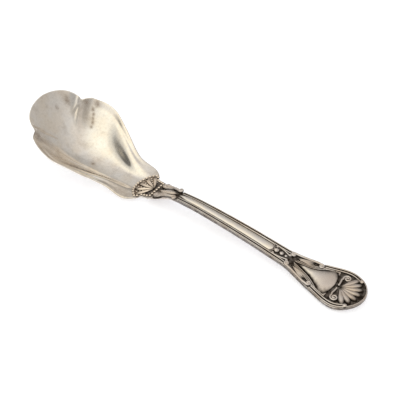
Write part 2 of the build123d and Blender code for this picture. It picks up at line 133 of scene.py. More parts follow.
BORDER_START = STEM_END + 13.5 * MM
BORDER_END = 146.6 * MM
BORDER_INSET = 0.93 * MM
BORDER_BEAD = 0.95 * MM
STEM_REED_INSET = 0.74 * MM
RIM_INSET = 0.32 * MM
THREAD_RUN = 14.0 * MM
THREAD_START = 0.55 * MM
THREAD_PITCH = 0.6 * MM


def knots(*pairs):
    """Knots given in millimetres, in metres."""
    return [(place * MM, value * MM) for place, value in pairs]


SIDE_EDGE = knots((8.2, 13.5), (11.5, 17.5), (21, 19.9), (30, 16.8), (42, 11.3), (50.5, 10.7))
BOWL_EDGE = SIDE_EDGE + knots((54.2, 8.6), (56, 5.8), (62.5, 4.8))
RIM_HEIGHTS = knots((8.2, 18.6), (21, 15.0), (42, 4.8), (50.5, 2.6), (58, 3.1))
FLANGES = knots((21, 0.0), (42, 2.6), (50.5, 4.0))
LIPS = [(NOTCH, 0.0), (LOBE, 0.15), (LOBE_REAR, 0.4), (WAIST, 0.85)]
VALLEYS = knots((8.2, 0.0), (21, 0.3), (38, 0.3), (47, 0.0))
WALLS = knots((50, 1.15), (58, 2.0))
NECK_EDGE = knots((56, 5.8), (59.5, 5.3), (62.5, 4.2), (66.75, 3.0), (71, 2.5), (75, 2.58))
SHOULDER_EDGE = knots((115, 3.42), (119, 3.5), (122.5, 3.95), (126, 4.85))
SHOULDER_EDGE += knots((132, 6.55), (142, 9.05), (152, 6.55))
CROWN = knots((66.75, 6.0), (71, 6.75), (81, 7.1), (101, 5.75))
CROWN += knots((119, 3.6), (131, 1.8), (143, 1.8), (151, 3.1))
BACK = knots((66.75, 3.9), (71, 4.65), (81, 5.0), (101, 3.65))
BACK += knots((119, 1.5), (131, 0.0), (143, 0.0), (151, 1.3))

# Stains and pits in the hollow, with painted shade beside the two notches, in millimetres: distance from the
# tip, Y, reach and depth
STAINS_AND_SHADE = (
    (4.8, 8.7, 1.3, 0.8),
    (4.2, 3.2, 0.8, 0.5),
    (10.3, 14.4, 1.5, 0.7),
    (13.8, 17.2, 1.6, 0.8),
    (10.0, -14.0, 2.4, 0.7),
    (15.5, -15.3, 2.4, 0.3),
    (10.7, 12.0, 3.5, 0.3),
    (10.7, -12.0, 3.5, 0.3),
    (13.3, 14.9, 0.9, 1.0),
    (14.4, 13.8, 0.65, 1.0),
    (14.9, 12.7, 0.6, 1.0),
    (15.5, 11.7, 0.6, 1.0),
    (15.8, 10.2, 0.6, 0.9),
    (26.9, -1.7, 0.7, 1.0),
)
# Painted shade on the left ear, at negative Y, as a share of the film
EAR_SHADE = 0.38
# Depth under the hollow's face within which points take the film and its painted shade
FILM_AND_SHADE_DEPTH = 0.58 * MM

# Polish of the handle's faces: 0 is oxide in a recess, 1 is bare silver; the low values on the side faces
# and the outermost top corners are painted shade
GROUND_POLISH = 0.22
HEEL_POLISH = 0.3
EDGE_POLISH = 0.85
CORNER_SHADE = 0.3
SIDE_SHADE = 0.4
BACK_POLISH = 0.8
NECK_POLISH = 0.75


# Curves
def ramp(value, start, end):
    """How far a value has come from start to end, from 0 to 1."""
    return np.clip((value - start) / (end - start), 0.0, 1.0)


def together(*parts):
    """Coordinates side by side, as points."""
    return np.stack(np.broadcast_arrays(*parts), axis=-1)


def ease(place, curve):
    """Smooth curve through (place, value) knots, held level past both ends."""
    places, values = np.array(curve).T
    slopes = np.empty(len(places))
    slopes[1:-1] = (values[2:] - values[:-2]) / (places[2:] - places[:-2])
    slopes[0] = (values[1] - values[0]) / (places[1] - places[0])
    slopes[-1] = (values[-1] - values[-2]) / (places[-1] - places[-2])
    spot = np.clip(place, places[0], places[-1])
    left = np.clip(np.searchsorted(places, spot, side="right") - 1, 0, len(places) - 2)
    span = places[left + 1] - places[left]
    t = (spot - places[left]) / span
    level = (2 * t**3 - 3 * t**2 + 1) * values[left] + (3 * t**2 - 2 * t**3) * values[left + 1]
    return level + span * ((t**3 - 2 * t**2 + t) * slopes[left] + (t**3 - t**2) * slopes[left + 1])


def softened(place, curve):
    """Curve through knots with its bends spread out, so that no line shows in the polish."""
    shifts = np.linspace(-BEND_REACH, BEND_REACH, 7)
    return sum(ease(place + shift, curve) for shift in shifts) / len(shifts)


def along(distance):
    """X of a point at a distance from the bowl's tip."""
    return distance - LENGTH / 2


def from_tip(x):
    """Distance from the bowl's tip of a point at X."""
    return x + LENGTH / 2


def spread(count):
    """Values from -1 to 1, close together at both ends."""
    return np.sin(np.linspace(-pi / 2, pi / 2, count))


def crowded(start, end, count):
    """Values from start to end, close together at the start."""
    return start + (end - start) * np.linspace(0, 1, count) ** 2


# Bowl shape
TIP_RISE = TIP_HEIGHT - FLOOR_HEIGHT
CREASE_SHARE = (FLOOR_AT - CREASE_REACH) / FLOOR_AT
LOBE_POWER = log(LOBE_FRONT_RISE / (TIP_RISE * CREASE_SHARE**TIP_TROUGH_POWER)) / -log(CREASE_SHARE)


def front_wall(distance, rise, power):
    """Height of the hollow's middle line between its lowest point and the tip."""
    return FLOOR_HEIGHT + rise * (np.maximum(FLOOR_AT - distance, 0.0) / FLOOR_AT) ** power


def heel_line(distance):
    """Height of the middle line from the hollow's lowest point up on to the neck."""
    past = distance - FLOOR_AT
    run = (past + np.sqrt(past**2 + FLOOR_EASE**2)) / 2 / (BOWL_LENGTH - FLOOR_AT)
    return FLOOR_HEIGHT + (JOINT_HEIGHT - FLOOR_HEIGHT) * run**2


def bowl_edge(distance):
    """Half width of the bowl's lobed outline."""
    share = ramp(distance, NOTCH, 0.0)
    tip = TIP_RUN * np.sqrt(1 - share**TIP_ROUND) + TIP_SLOPE * distance
    return np.where(distance < NOTCH, tip, ease(distance, BOWL_EDGE))


def tip_trough(distance, y):
    """Trough that forms the bowl's tip."""
    bend = (NOTCH_HEIGHT - front_wall(NOTCH, TIP_RISE, TIP_TROUGH_POWER)) / NOTCH_HALF_WIDTH**2
    bend = bend * (1 + TIP_FLARE * (distance - NOTCH))
    return front_wall(distance, TIP_RISE, TIP_TROUGH_POWER) + bend * y**2


def side_hollow(distance, y):
    """Hollow of the side lobes: a wall with a flange along its edge and a shallow valley inside the lip."""
    edge = softened(distance, SIDE_EDGE)
    share = np.abs(y) / edge
    middle = front_wall(distance, LOBE_FRONT_RISE, LOBE_POWER) + heel_line(distance) - FLOOR_HEIGHT
    depth = softened(distance, RIM_HEIGHTS) - middle
    depth = np.where(distance < NOTCH, NOTCH_HEIGHT - front_wall(NOTCH, LOBE_FRONT_RISE, LOBE_POWER), depth)
    depth = np.where(distance > BOWL_LENGTH, 0.0, depth)
    climb = ramp(share, WALL_FOOT, 1 - softened(distance, FLANGES) / edge)
    wall = climb**3 * (6 * climb**2 - 15 * climb + 10)
    lip = softened(distance, LIPS)
    valley = softened(distance, VALLEYS) * np.exp(-(((edge - np.abs(y) - LIP_AT) / LIP_SPREAD) ** 2))
    return middle + depth * ((1 - lip) * share**2 + lip * wall) - valley


def hollow(distance, y, softness):
    """Upper face of the bowl: the tip trough and the side hollow meet in two ridged creases."""

    def gap(place, across):
        return tip_trough(place, across) - side_hollow(place, across)

    side = side_hollow(distance, y)
    above = gap(distance, y)
    soft = softness * ramp(distance, TROUGH_END, CREASE_REACH)
    lower = side + (above - np.sqrt(above**2 + soft**2)) / 2
    step = 0.05 * MM
    slope_along = gap(distance + step, y) - gap(distance - step, y)
    slope_across = gap(distance, y + step) - gap(distance, y - step)
    slope = np.hypot(slope_along, slope_across) / (2 * step)
    away = above / np.maximum(slope, LEAST_SLOPE)
    fade = ramp(np.abs(y), RIDGE_END, RIDGE_FULL)
    ridge = RIDGE_HEIGHT * fade**2 * (3 - 2 * fade) * np.exp(-((away / RIDGE_SPREAD) ** 2))
    return np.where(distance < TROUGH_END, lower + ridge, side)


# Handle shape
NECK_CROWN = [(place, heel_line(place)) for place in np.linspace(54 * MM, COLLAR_AT, 5)]
NECK_BACK = [(place, height - NECK_THICKNESS) for place, height in NECK_CROWN]


def handle_edge(distance):
    """Half width of the handle's outline."""
    stem = STEM_HALF_WIDTH + STEM_WIDENING * (distance - STEM_START) / (STEM_END - STEM_START)
    end = FLARE_HALF_WIDTH * np.sqrt(1 - ramp(distance, FLARE, LENGTH) ** TERMINAL_ROUND)
    inner = np.where(distance < STEM_START, ease(distance, NECK_EDGE), stem)
    outer = np.where(distance < FLARE, ease(distance, SHOULDER_EDGE), end)
    return np.where(distance < STEM_END, inner, outer)


def crown(distance):
    """Height of the handle's upper face."""
    return ease(distance, NECK_CROWN + CROWN)


def back(distance):
    """Height of the handle's lower face, which rests on the table near its end."""
    return np.maximum(ease(distance, NECK_BACK + BACK), 0.0)


def scarf_crossing(height, offset):
    """Distance from the tip at which a height line meets the scarf plane, moved along its normal."""
    low, high = SCARF_START, COLLAR_AT
    for _ in range(60):
        middle = (low + high) / 2
        rise = height(np.array(middle)) - (JOINT_HEIGHT - NECK_THICKNESS / 2)
        if (middle - BOWL_LENGTH) * sin(SCARF_ANGLE) + rise * cos(SCARF_ANGLE) < offset:
            low = middle
        else:
            high = middle
    return low


def lancet(distance):
    """Half width of the stem panel: pointed at the neck, round at the other end."""
    start = PANEL_HALF_WIDTH * np.sin(pi / 2 * ramp(distance, STEM_START, PANEL_POINT))
    run = (distance - PANEL_POINT) / (PANEL_SIDE_END - PANEL_POINT)
    side = PANEL_HALF_WIDTH + (PANEL_END_HALF_WIDTH - PANEL_HALF_WIDTH) * run
    end = PANEL_END_HALF_WIDTH * np.sqrt(1 - ramp(distance, PANEL_SIDE_END, PANEL_END) ** 2)
    return np.where(distance < PANEL_POINT, start, np.where(distance < PANEL_SIDE_END, side, end))


def pear(distance):
    """Half width of the terminal panel."""
    curve = [(PEAR_START, 0.0), (PEAR_NECK, PEAR_NECK_HALF_WIDTH), (PEAR_BELLY, PEAR_HALF_WIDTH)]
    end = PEAR_HALF_WIDTH * np.sqrt(1 - ramp(distance, PEAR_BELLY, PEAR_END) ** 2)
    return np.where(distance < PEAR_BELLY, ease(distance, curve), end)


def rim_line(start, inset):
    """Plan line inside the handle's outline, from a place on its right side round the tip to the left."""
    side = np.linspace(start, FLARE, 60)[:-1]
    turn = np.linspace(0.0, pi / 2, 40)
    rows = np.concatenate([side, FLARE + (LENGTH - FLARE) * np.sin(turn)])
    half = together(rows, handle_edge(rows))
    line = np.concatenate([half, (half * (1, -1))[::-1][1:]])
    way = np.gradient(line, axis=0)
    way /= np.linalg.norm(way, axis=1)[:, None]
    return line + inset * together(way[:, 1], -way[:, 0])


def on_handle(distance, y):
    """Ground of what lies on the handle."""
    return crown(distance) + 0 * y


def on_heel(distance, y):
    """Ground of what lies on the bowl's heel and over the joint."""
    return hollow(distance, y, 0.0)


# Meshes
def edge_drop(inset, radius):
    """How far a face falls towards its edge, so that the edge is rounded."""
    return radius * (1 - np.sqrt(1 - ramp(inset, radius, 0.0) ** 2))


def plan_inset(distance, y, edge):
    """Distance in plan from the outline, near enough for rounding an edge."""
    step = 0.01 * MM
    slope = (edge(distance + step) - edge(np.maximum(distance - step, 0.0))) / (2 * step)
    return (edge(distance) - np.abs(y)) / np.sqrt(1 + slope**2)


def handle_inset(distance, y):
    """Distance in plan from the handle's outline, with the slope taken just short of its tip."""
    return plan_inset(np.minimum(distance, LENGTH - 0.011 * MM), y, handle_edge)


def shell_between(name, upper, lower, open_start=False, open_end=False):
    """Closed mesh between an upper and a lower grid of points; ends that narrow to nothing need no cap."""
    rows, columns = upper.shape[:2]
    ring = 2 * columns
    loops = np.concatenate([upper, lower[:, ::-1]], axis=1)
    index = np.arange(rows * ring).reshape(rows, ring)
    after = np.roll(index, -1, axis=1)
    faces = together(index[:-1], after[:-1], after[1:], index[1:]).reshape(-1, 4).tolist()
    for row, wanted in ((0, not open_start), (rows - 1, not open_end)):
        if wanted:
            for j in range(columns - 1):
                faces.append([index[row, k] for k in (j, j + 1, ring - 2 - j, ring - 1 - j)])
    mesh = bpy.data.meshes.new(name)
    mesh.from_pydata(loops.reshape(-1, 3).tolist(), [], faces)
    clean(mesh)
    return mesh


def raised_panel(name, rows, half_width, height, columns):
    """Cushion on the handle over a plan outline; height takes distance and share of the half width."""
    share = spread(columns)
    distance = rows[:, None]
    y = half_width(distance) * share
    upper = together(along(distance), y, crown(distance) + height(distance, np.abs(share)))
    lower = together(along(distance), y, crown(distance) - PANEL_SINK)
    return shell_between(name, upper, lower, open_start=True, open_end=True)


def panel_rows(start, first, last, end, counts):
    """Rows of a panel: close together towards both ends and even between."""
    head = crowded(start, first, counts[0])
    middle = np.linspace(first, last, counts[1])[1:]
    tail = end - crowded(0.0, end - last, counts[2])[::-1][1:]
    return np.concatenate([head, middle, tail])


def clean(mesh):
    """Merge doubles, drop empty faces and turn all faces outwards."""
    work = bmesh.new()
    work.from_mesh(mesh)
    bmesh.ops.remove_doubles(work, verts=work.verts, dist=0.0002 * MM)
    bmesh.ops.dissolve_degenerate(work, edges=work.edges, dist=0.0001 * MM)
    bmesh.ops.recalc_face_normals(work, faces=work.faces)
    work.to_mesh(mesh)
    work.free()
    mesh.shade_smooth()


def points_of(mesh):
    """Vertex positions of a mesh as rows."""
    flat = np.empty(len(mesh.vertices) * 3)
    mesh.vertices.foreach_get("co", flat)
    return flat.reshape(-1, 3)


def set_mark(mesh, name, values):
    """Store a value from 0 to 1 on each point of a mesh; polish runs from oxide at 0 to bare silver at 1,
    and the low polish on the handle's side faces is painted shade.
    """
    layer = mesh.attributes.new(name, "FLOAT", "POINT")
    layer.data.foreach_set("value", np.clip(values, 0.0, 1.0).astype(np.float32))


def put(name, data):
    """New object in the scene."""
    made = bpy.data.objects.new(name, data)
    bpy.context.scene.collection.objects.link(made)
    return made


def finish_piece(mesh, name, node=None, slot="relief_silver", finish=None):
    """Make the object, let it ride on the spoon and hide the CAD node that it stands for."""
    mesh.materials.clear()
    mesh.materials.append(get_material(finish or slot))
    piece = put(name, mesh)
    if node:
        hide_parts(node)
    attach(piece, "root")


def lay_on(mesh, ground, foot, top, lift=0.0):
    """Store the polish from a dark foot up to the top of the relief, then lay the mesh on the ground."""
    points = points_of(mesh)
    points[:, 2] += lift
    set_mark(mesh, "polish", (points[:, 2] - foot) / (top - foot))
    points[:, 2] += ground(from_tip(points[:, 0]), points[:, 1])
    mesh.vertices.foreach_set("co", points.ravel())
    mesh.update()
    clean(mesh)


# Node trees
class Wire:
    """Output of a node; sums, products and powers of wires are math nodes."""

    def __init__(self, tree, socket):
        self.tree = tree
        self.socket = socket

    def __add__(self, other):
        return math_node(self.tree, "ADD", self, other)

    def __sub__(self, other):
        return math_node(self.tree, "SUBTRACT", self, other)

    def __rsub__(self, other):
        return math_node(self.tree, "SUBTRACT", other, self)

    def __mul__(self, other):
        return math_node(self.tree, "MULTIPLY", self, other)

    def __truediv__(self, other):
        return math_node(self.tree, "DIVIDE", self, other)

    def __pow__(self, other):
        return math_node(self.tree, "POWER", self, other)

    def __rpow__(self, other):
        return math_node(self.tree, "POWER", other, self)


def feed(tree, node, inputs):
    """Set a node's inputs from wires or plain values."""
    for key, value in inputs.items():
        if isinstance(value, Wire):
            tree.links.new(value.socket, node.inputs[key])
        else:
            node.inputs[key].default_value = value


def add(tree, kind, inputs=None, out=0, **settings):
    """Add a node and return one of its outputs."""
    node = tree.nodes.new(kind)
    for key, value in settings.items():
        setattr(node, key, value)
    feed(tree, node, inputs or {})
    return Wire(tree, node.outputs[out])


def add_all(tree, kind, outs, inputs=None):
    """Add a node and return several of its outputs."""
    node = add(tree, kind, inputs).socket.node
    return [Wire(tree, node.outputs[out]) for out in outs]


def math_node(tree, operation, first, second=0.0):
    """Output of a math node."""
    return add(tree, "ShaderNodeMath", {0: first, 1: second}, operation=operation)


def new_tree(name, sockets):
    """Geometry tree with named inputs, and the wires from them."""
    tree = bpy.data.node_groups.new(name, "GeometryNodeTree")
    for label, kind in {"Geometry": "Geometry", **sockets, "Material": "Material"}.items():
        tree.interface.new_socket(label, in_out="INPUT", socket_type=f"NodeSocket{kind}")
    tree.interface.new_socket("Geometry", in_out="OUTPUT", socket_type="NodeSocketGeometry")
    sources = tree.nodes.new("NodeGroupInput").outputs
    return tree, {source.name: Wire(tree, source) for source in sources}


def close_tree(tree, geometry, given):
    """End a tree in real geometry with its material."""
    real = add(tree, "GeometryNodeRealizeInstances", {"Geometry": geometry})
    dressed = add(tree, "GeometryNodeSetMaterial", {"Geometry": real, "Material": given["Material"]})
    feed(tree, tree.nodes.new("NodeGroupOutput"), {0: dressed})
    return tree


def level_curve(tree, mesh, step):
    """Curve along a line of edges with even steps and upright normals."""
    line = add(tree, "GeometryNodeMeshToCurve", {"Mesh": mesh})
    even = add(tree, "GeometryNodeResampleCurve", {"Curve": line, "Length": step}, mode="LENGTH")
    return add(tree, "GeometryNodeSetCurveNormal", {"Curve": even}, mode="Z_UP")


def swept(tree, curve, profile):
    """Profile swept along a curve, with closed ends."""
    inputs = {"Curve": curve, "Profile Curve": profile, "Fill Caps": True}
    return add(tree, "GeometryNodeCurveToMesh", inputs)


def circle(tree, radius, corners):
    """Round profile."""
    return add(tree, "GeometryNodeCurvePrimitiveCircle", {"Resolution": corners, "Radius": radius})


def ball(tree, radius, segments, rings):
    """Round body."""
    inputs = {"Segments": segments, "Rings": rings, "Radius": radius}
    return add(tree, "GeometryNodeMeshUVSphere", inputs)


def at_points(tree, points, body, **inputs):
    """A copy of a body at each point."""
    return add(tree, "GeometryNodeInstanceOnPoints", {"Points": points, "Instance": body, **inputs})


def reed_tree():
    """Rows of half-round reeds along a line."""
    tree, given = new_tree("reeds", {"Reeds": "Int", "Reed radius": "Float", "Reed pitch": "Float"})
    half = (given["Reeds"] - 1.0) * given["Reed pitch"] * -0.5
    start = add(tree, "ShaderNodeCombineXYZ", {"X": half})
    step = add(tree, "ShaderNodeCombineXYZ", {"X": given["Reed pitch"]})
    inputs = {"Count": given["Reeds"], "Start Location": start, "Offset": step}
    row = add(tree, "GeometryNodeMeshLine", inputs)
    rounds = at_points(tree, row, circle(tree, given["Reed radius"], 14))
    profile = add(tree, "GeometryNodeRealizeInstances", {"Geometry": rounds})
    line = level_curve(tree, given["Geometry"], 0.4 * MM)
    return close_tree(tree, swept(tree, line, profile), given)


def scroll_tree():
    """Tapered band along a line, with a round eye at each end."""
    tree, given = new_tree("scroll", {"Band radius": "Float", "Eye radius": "Float", "Taper": "Float"})
    factor = add(tree, "GeometryNodeSplineParameter", out="Factor")
    swell = math_node(tree, "SINE", factor * pi) ** 0.7
    width = swell * given["Taper"] + (1.0 - given["Taper"])
    line = level_curve(tree, given["Geometry"], 0.12 * MM)
    shaped = add(tree, "GeometryNodeSetCurveRadius", {"Curve": line, "Radius": width})
    band = swept(tree, shaped, circle(tree, given["Band radius"], 16))
    ends = add(tree, "GeometryNodeCurveEndpointSelection")
    eyes = at_points(tree, shaped, ball(tree, given["Eye radius"], 20, 12), Selection=ends)
    joined = add(tree, "GeometryNodeJoinGeometry", {0: band})
    feed(tree, joined.socket.node, {0: eyes})
    return close_tree(tree, joined, given)


def bead_tree():
    """A flattened bead at each point, as large as the point's own radius."""
    tree, given = new_tree("beads", {"Flatness": "Float"})
    size = add(tree, "GeometryNodeInputNamedAttribute", {"Name": "bead_radius"}, data_type="FLOAT")
    scale = add(tree, "ShaderNodeCombineXYZ", {"X": size, "Y": size, "Z": size * given["Flatness"]})
    beads = at_points(tree, given["Geometry"], ball(tree, 1.0, 28, 18), Scale=scale)
    return close_tree(tree, beads, given)


def fan_tree():
    """A fan of petals round one root: each petal narrows to the root and has a groove along its middle."""
    numbers = ("Spread", "Start", "Petal length", "Petal width", "Petal height", "Groove")
    tree, given = new_tree("fan", {"Petals": "Int", **dict.fromkeys(numbers, "Float"), "Root": "Vector"})
    inputs = {"Geometry": ball(tree, 1.0, 40, 28), "Rotation": (0.0, pi / 2, 0.0)}
    turned = add(tree, "GeometryNodeTransform", inputs)
    place = add(tree, "GeometryNodeInputPosition")
    x, y, z = add_all(tree, "ShaderNodeSeparateXYZ", "XYZ", {0: place})
    run = (x + 1.0) * 0.5
    narrow = run**0.8 * 0.8 + 0.3
    cut = 1.0 - 2.718 ** (y * y * -60.0) * given["Groove"]
    parts = {
        "X": run * given["Petal length"],
        "Y": y * narrow * (given["Petal width"] * 0.5),
        "Z": z * (cut * given["Petal height"]),
    }
    moved = add(tree, "ShaderNodeCombineXYZ", parts)
    petal = add(tree, "GeometryNodeSetPosition", {"Geometry": turned, "Position": moved})
    dots = add(tree, "GeometryNodePoints", {"Count": given["Petals"], "Position": given["Root"]})
    step = given["Spread"] / (given["Petals"] - 1.0)
    angle = add(tree, "GeometryNodeInputIndex") * step + given["Start"]
    turn = add(tree, "ShaderNodeCombineXYZ", {"Z": angle})
    return close_tree(tree, at_points(tree, dots, petal, Rotation=turn), given)


def grow(name, tree, carrier, finish, values):
    """Run a geometry tree on a carrier mesh and return the result as a plain mesh."""
    values = {**values, "Material": get_material(finish)}
    holder = put(f"{name}_carrier", carrier)
    modifier = holder.modifiers.new("grow", "NODES")
    modifier.node_group = tree
    for item in tree.interface.items_tree:
        if item.in_out == "INPUT" and item.name in values:
            modifier[item.identifier] = values[item.name]
    evaluated = holder.evaluated_get(bpy.context.evaluated_depsgraph_get())
    mesh = bpy.data.meshes.new_from_object(evaluated)
    mesh.name = f"{name}_mesh"
    holder.modifiers.clear()
    bpy.data.objects.remove(holder)
    return mesh


def path_mesh(name, *lines):
    """Open lines of edges through plan points, given as distance from the tip and Y."""
    points = []
    edges = []
    for line in lines:
        edges += [(i, i + 1) for i in range(len(points), len(points) + len(line) - 1)]
        points += [(along(distance), y, 0.0) for distance, y in line]
    mesh = bpy.data.meshes.new(name)
    mesh.from_pydata(points, edges, [])
    return mesh


# Relief laid on the spoon
def lay_reeds(name, lines, radius, count=1, pitch=0.0, node=None):
    """Reeds along plan lines on the handle, sunk a little into its ground."""
    values = {"Reeds": count, "Reed radius": radius, "Reed pitch": pitch}
    mesh = grow(name, reed_tree(), path_mesh(f"{name}_lines", *lines), "relief_silver", values)
    lay_on(mesh, on_handle, 0.8 * radius, 1.75 * radius, 0.85 * radius)
    finish_piece(mesh, name, node)


def lay_scroll(name, parts, side, band, eye, node=None):
    """Scroll through the parts of its plan line, in millimetres, on one side of the handle."""
    line = smooth_line(np.concatenate([np.array(part) for part in parts]) * MM, 0.12 * MM) * (1, side)
    values = {"Band radius": band, "Eye radius": eye, "Taper": 0.5}
    mesh = grow(name, scroll_tree(), path_mesh(f"{name}_line", line), "relief_silver", values)
    lay_on(mesh, on_handle, 0.3 * band, 1.4 * band, 0.55 * band)
    finish_piece(mesh, name, node)


def lay_beads(name, places, radii, flatness, ground, foot, top, node=None, finish="relief_silver"):
    """Beads at plan places, given as distance from the tip and Y, each with its own radius."""
    carrier = path_mesh(f"{name}_points", *[[place] for place in places])
    layer = carrier.attributes.new("bead_radius", "FLOAT", "POINT")
    layer.data.foreach_set("value", np.array(radii, dtype=np.float32))
    mesh = grow(name, bead_tree(), carrier, finish, {"Flatness": flatness})
    lay_on(mesh, ground, foot, top)
    finish_piece(mesh, name, node, finish=finish)


def lay_fan(name, petals, turns, size, root, groove, ground, foot, node=None, finish="relief_silver"):
    """Fan of petals between two angles: size is length, width and height, and foot a share of the height."""
    values = {
        "Petals": petals,
        "Spread": turns[1] - turns[0],
        "Start": turns[0],
        "Petal length": size[0],
        "Petal width": size[1],
        "Petal height": size[2],
        "Groove": groove,
        "Root": (along(root[0]), root[1], 0.0),
    }
    mesh = grow(name, fan_tree(), bpy.data.meshes.new(f"{name}_seed"), finish, values)
    lay_on(mesh, ground, foot * size[2], size[2])
    finish_piece(mesh, name, node, finish=finish)


def smooth_line(points, step):
    """Plan line through points by cubic pieces, as rows of points about a step apart."""
    runs = np.concatenate([[0.0], np.cumsum(np.linalg.norm(np.diff(points, axis=0), axis=1))])
    places = np.linspace(0.0, runs[-1], max(int(runs[-1] / step), 8))
    return together(*[ease(places, together(runs, points[:, k])) for k in (0, 1)])


def curl(centre, start, turns, outer, inner):
    """Spiral in plan from the outer radius to the inner one, turning from a start angle."""
    t = np.linspace(0.0, 1.0, 36)
    angle = start + t * turns * 2 * pi
    radius = outer + (inner - outer) * t
    return together(centre[0] + radius * np.cos(angle), centre[1] + radius * np.sin(angle))


# Finishes
def new_material(name):
    """Material with a metal shader, and its tree, shader and object coordinates."""
    material = bpy.data.materials.new(f"{name}_finish")
    material.use_nodes = True
    tree = material.node_tree
    shader = tree.nodes["Principled BSDF"]
    feed(tree, shader, {"Metallic": 1.0})
    return material, tree, shader, add(tree, "ShaderNodeTexCoord", out="Object")


def noise(tree, place, scale, detail=3.0, stretch=None):
    """Output of a noise texture; stretch scales the three axes first."""
    if stretch:
        place = add(tree, "ShaderNodeMapping", {"Vector": place, "Scale": stretch})
    return add(tree, "ShaderNodeTexNoise", {"Vector": place, "Scale": scale, "Detail": detail}, "Fac")


def remap(tree, value, low, high, start, end):
    """Map a range of values to another range, clamped."""
    inputs = {"Value": value, "From Min": low, "From Max": high, "To Min": start, "To Max": end}
    return add(tree, "ShaderNodeMapRange", inputs)


def mark(tree, name):
    """Value stored on the mesh's points."""
    return add(tree, "ShaderNodeAttribute", out="Fac", attribute_name=name)


def blend(tree, factor, first, second):
    """Mix of two colours."""
    return add(tree, "ShaderNodeMix", {0: factor, 6: first, 7: second}, 2, data_type="RGBA")


def bump(tree, height, strength, distance):
    """Normal of a bumpy face."""
    return add(tree, "ShaderNodeBump", {"Height": height, "Strength": strength, "Distance": distance})


def colour(value):
    """Colour property with full alpha."""
    return (*value, 1.0)


def polished_silver(look):
    """Bowl silver: old polish with fine scratches, a warm tarnish, a few pits and a brown film in places,
    which also paints shade on one ear and beside the notches.
    """
    material, tree, shader, place = new_material("polished_silver")
    tone = remap(tree, noise(tree, place, 150.0, 5.0), 0.36, 0.64, 0.0, 1.0)
    stain = remap(tree, noise(tree, place, 190.0, 8.0), 0.52, 0.75, 0.0, look.tarnish)
    speckle = remap(tree, noise(tree, place, 900.0, 5.0), 0.46, 0.7, 0.0, 0.4 * look.tarnish)
    # The film mark is tarnish between the petals, stains and pits, and painted shade on one ear and beside
    # the notches
    dark = mark(tree, "film") * remap(tree, noise(tree, place, 700.0, 4.0), 0.35, 0.6, 0.55, 1.0)
    base = blend(tree, tone, colour(look.silver), colour(look.warm_silver))
    for cover in (stain, speckle, dark):
        base = blend(tree, cover, base, colour(look.film))
    cells = add(tree, "ShaderNodeTexVoronoi", {"Vector": place, "Scale": 230.0}, "Distance")
    rare = math_node(tree, "GREATER_THAN", noise(tree, place, 160.0, 1.0), 0.66)
    pit = remap(tree, cells, 0.06, 0.16, 1.0, 0.0) * rare
    gloss = look.bowl_roughness
    rough = remap(tree, noise(tree, place, 240.0, 4.0), 0.3, 0.7, gloss * 0.85, gloss * 1.2)
    fine = noise(tree, place, 1.0, 2.0, (900.0, 5200.0, 5200.0))
    cross = noise(tree, place, 1.0, 2.0, (4200.0, 700.0, 4200.0))
    waves = noise(tree, place, 120.0, 1.0)
    inputs = {
        "Base Color": blend(tree, pit, base, colour(look.oxide_and_shade)),
        "Roughness": rough + math_node(tree, "MAXIMUM", pit, dark) * 0.3,
        "Normal": bump(tree, fine + cross * 0.6 + waves * 7.0 - pit * 12.0, 0.25, 0.01 * MM),
    }
    feed(tree, shader, inputs)
    return material


def rubbed_silver(name, look, silver, warm):
    """Relief and handle silver: oxide left in the recesses, painted shade on the handle's side faces, and
    bare metal where it is rubbed.
    """
    material, tree, shader, place = new_material(name)
    grime = noise(tree, place, 900.0, 4.0)
    uneven = mark(tree, "polish") + remap(tree, grime, 0.3, 0.7, -0.1, 0.1)
    bright = remap(tree, uneven, 0.18, 0.78, 0.0, 1.0)
    tone = remap(tree, noise(tree, place, 170.0), 0.36, 0.64, 0.0, 1.0)
    metal = blend(tree, tone, colour(silver), colour(warm))
    metal = blend(tree, mark(tree, "warmth") * 0.7, metal, colour(look.belly_silver))
    inputs = {
        "Base Color": blend(tree, bright, colour(look.oxide_and_shade), metal),
        "Roughness": remap(tree, bright, 0.0, 1.0, 0.5, look.relief_roughness),
        "Normal": bump(tree, noise(tree, place, 2600.0) + grime * 1.5, 0.3, 0.02 * MM),
    }
    feed(tree, shader, inputs)
    return material


def hard_solder(look):
    """Solder film: dull grey with a fine grain."""
    material, tree, shader, place = new_material("hard_solder")
    speckle = noise(tree, place, 3000.0)
    inputs = {
        "Base Color": blend(tree, speckle, colour(look.solder), colour(look.oxide_and_shade)),
        "Roughness": remap(tree, speckle, 0.3, 0.7, 0.35, 0.6),
    }
    feed(tree, shader, inputs)
    return material


def get_material(name):
    """One of the spoon's finishes, made on first use."""
    made = bpy.data.materials.get(f"{name}_finish")
    if made:
        return made
    look = bpy.context.scene.spoon_look
    if name == "polished_silver":
        return polished_silver(look)
    if name == "hard_solder":
        return hard_solder(look)
    tones = {
        "plain_panel": (look.panel_silver, look.warm_silver),
        "warm_relief": (look.heel_silver, look.heel_silver),
    }
    return rubbed_silver(name, look, *tones.get(name, (look.relief_silver, look.relief_warm)))


# Properties
def length(name, description, millimetres):
    """Length property with its default in millimetres."""
    return bpy.props.FloatProperty(
        name=name, description=description, default=millimetres * MM, min=0.0, precision=5, unit="LENGTH"
    )


def tint(name, description, default):
    """Colour property."""
    return bpy.props.FloatVectorProperty(
        name=name, description=description, default=default, size=3, min=0.0, max=1.0, subtype="COLOR"
    )


def amount(name, description, default, top=1.0):
    """Plain number property."""
    return bpy.props.FloatProperty(name=name, description=description, default=default, min=0.0, max=top)


def angle(name, description, degrees):
    """Angle property with its default in degrees."""
    return bpy.props.FloatProperty(
        name=name, description=description, default=radians(degrees), subtype="ANGLE"
    )


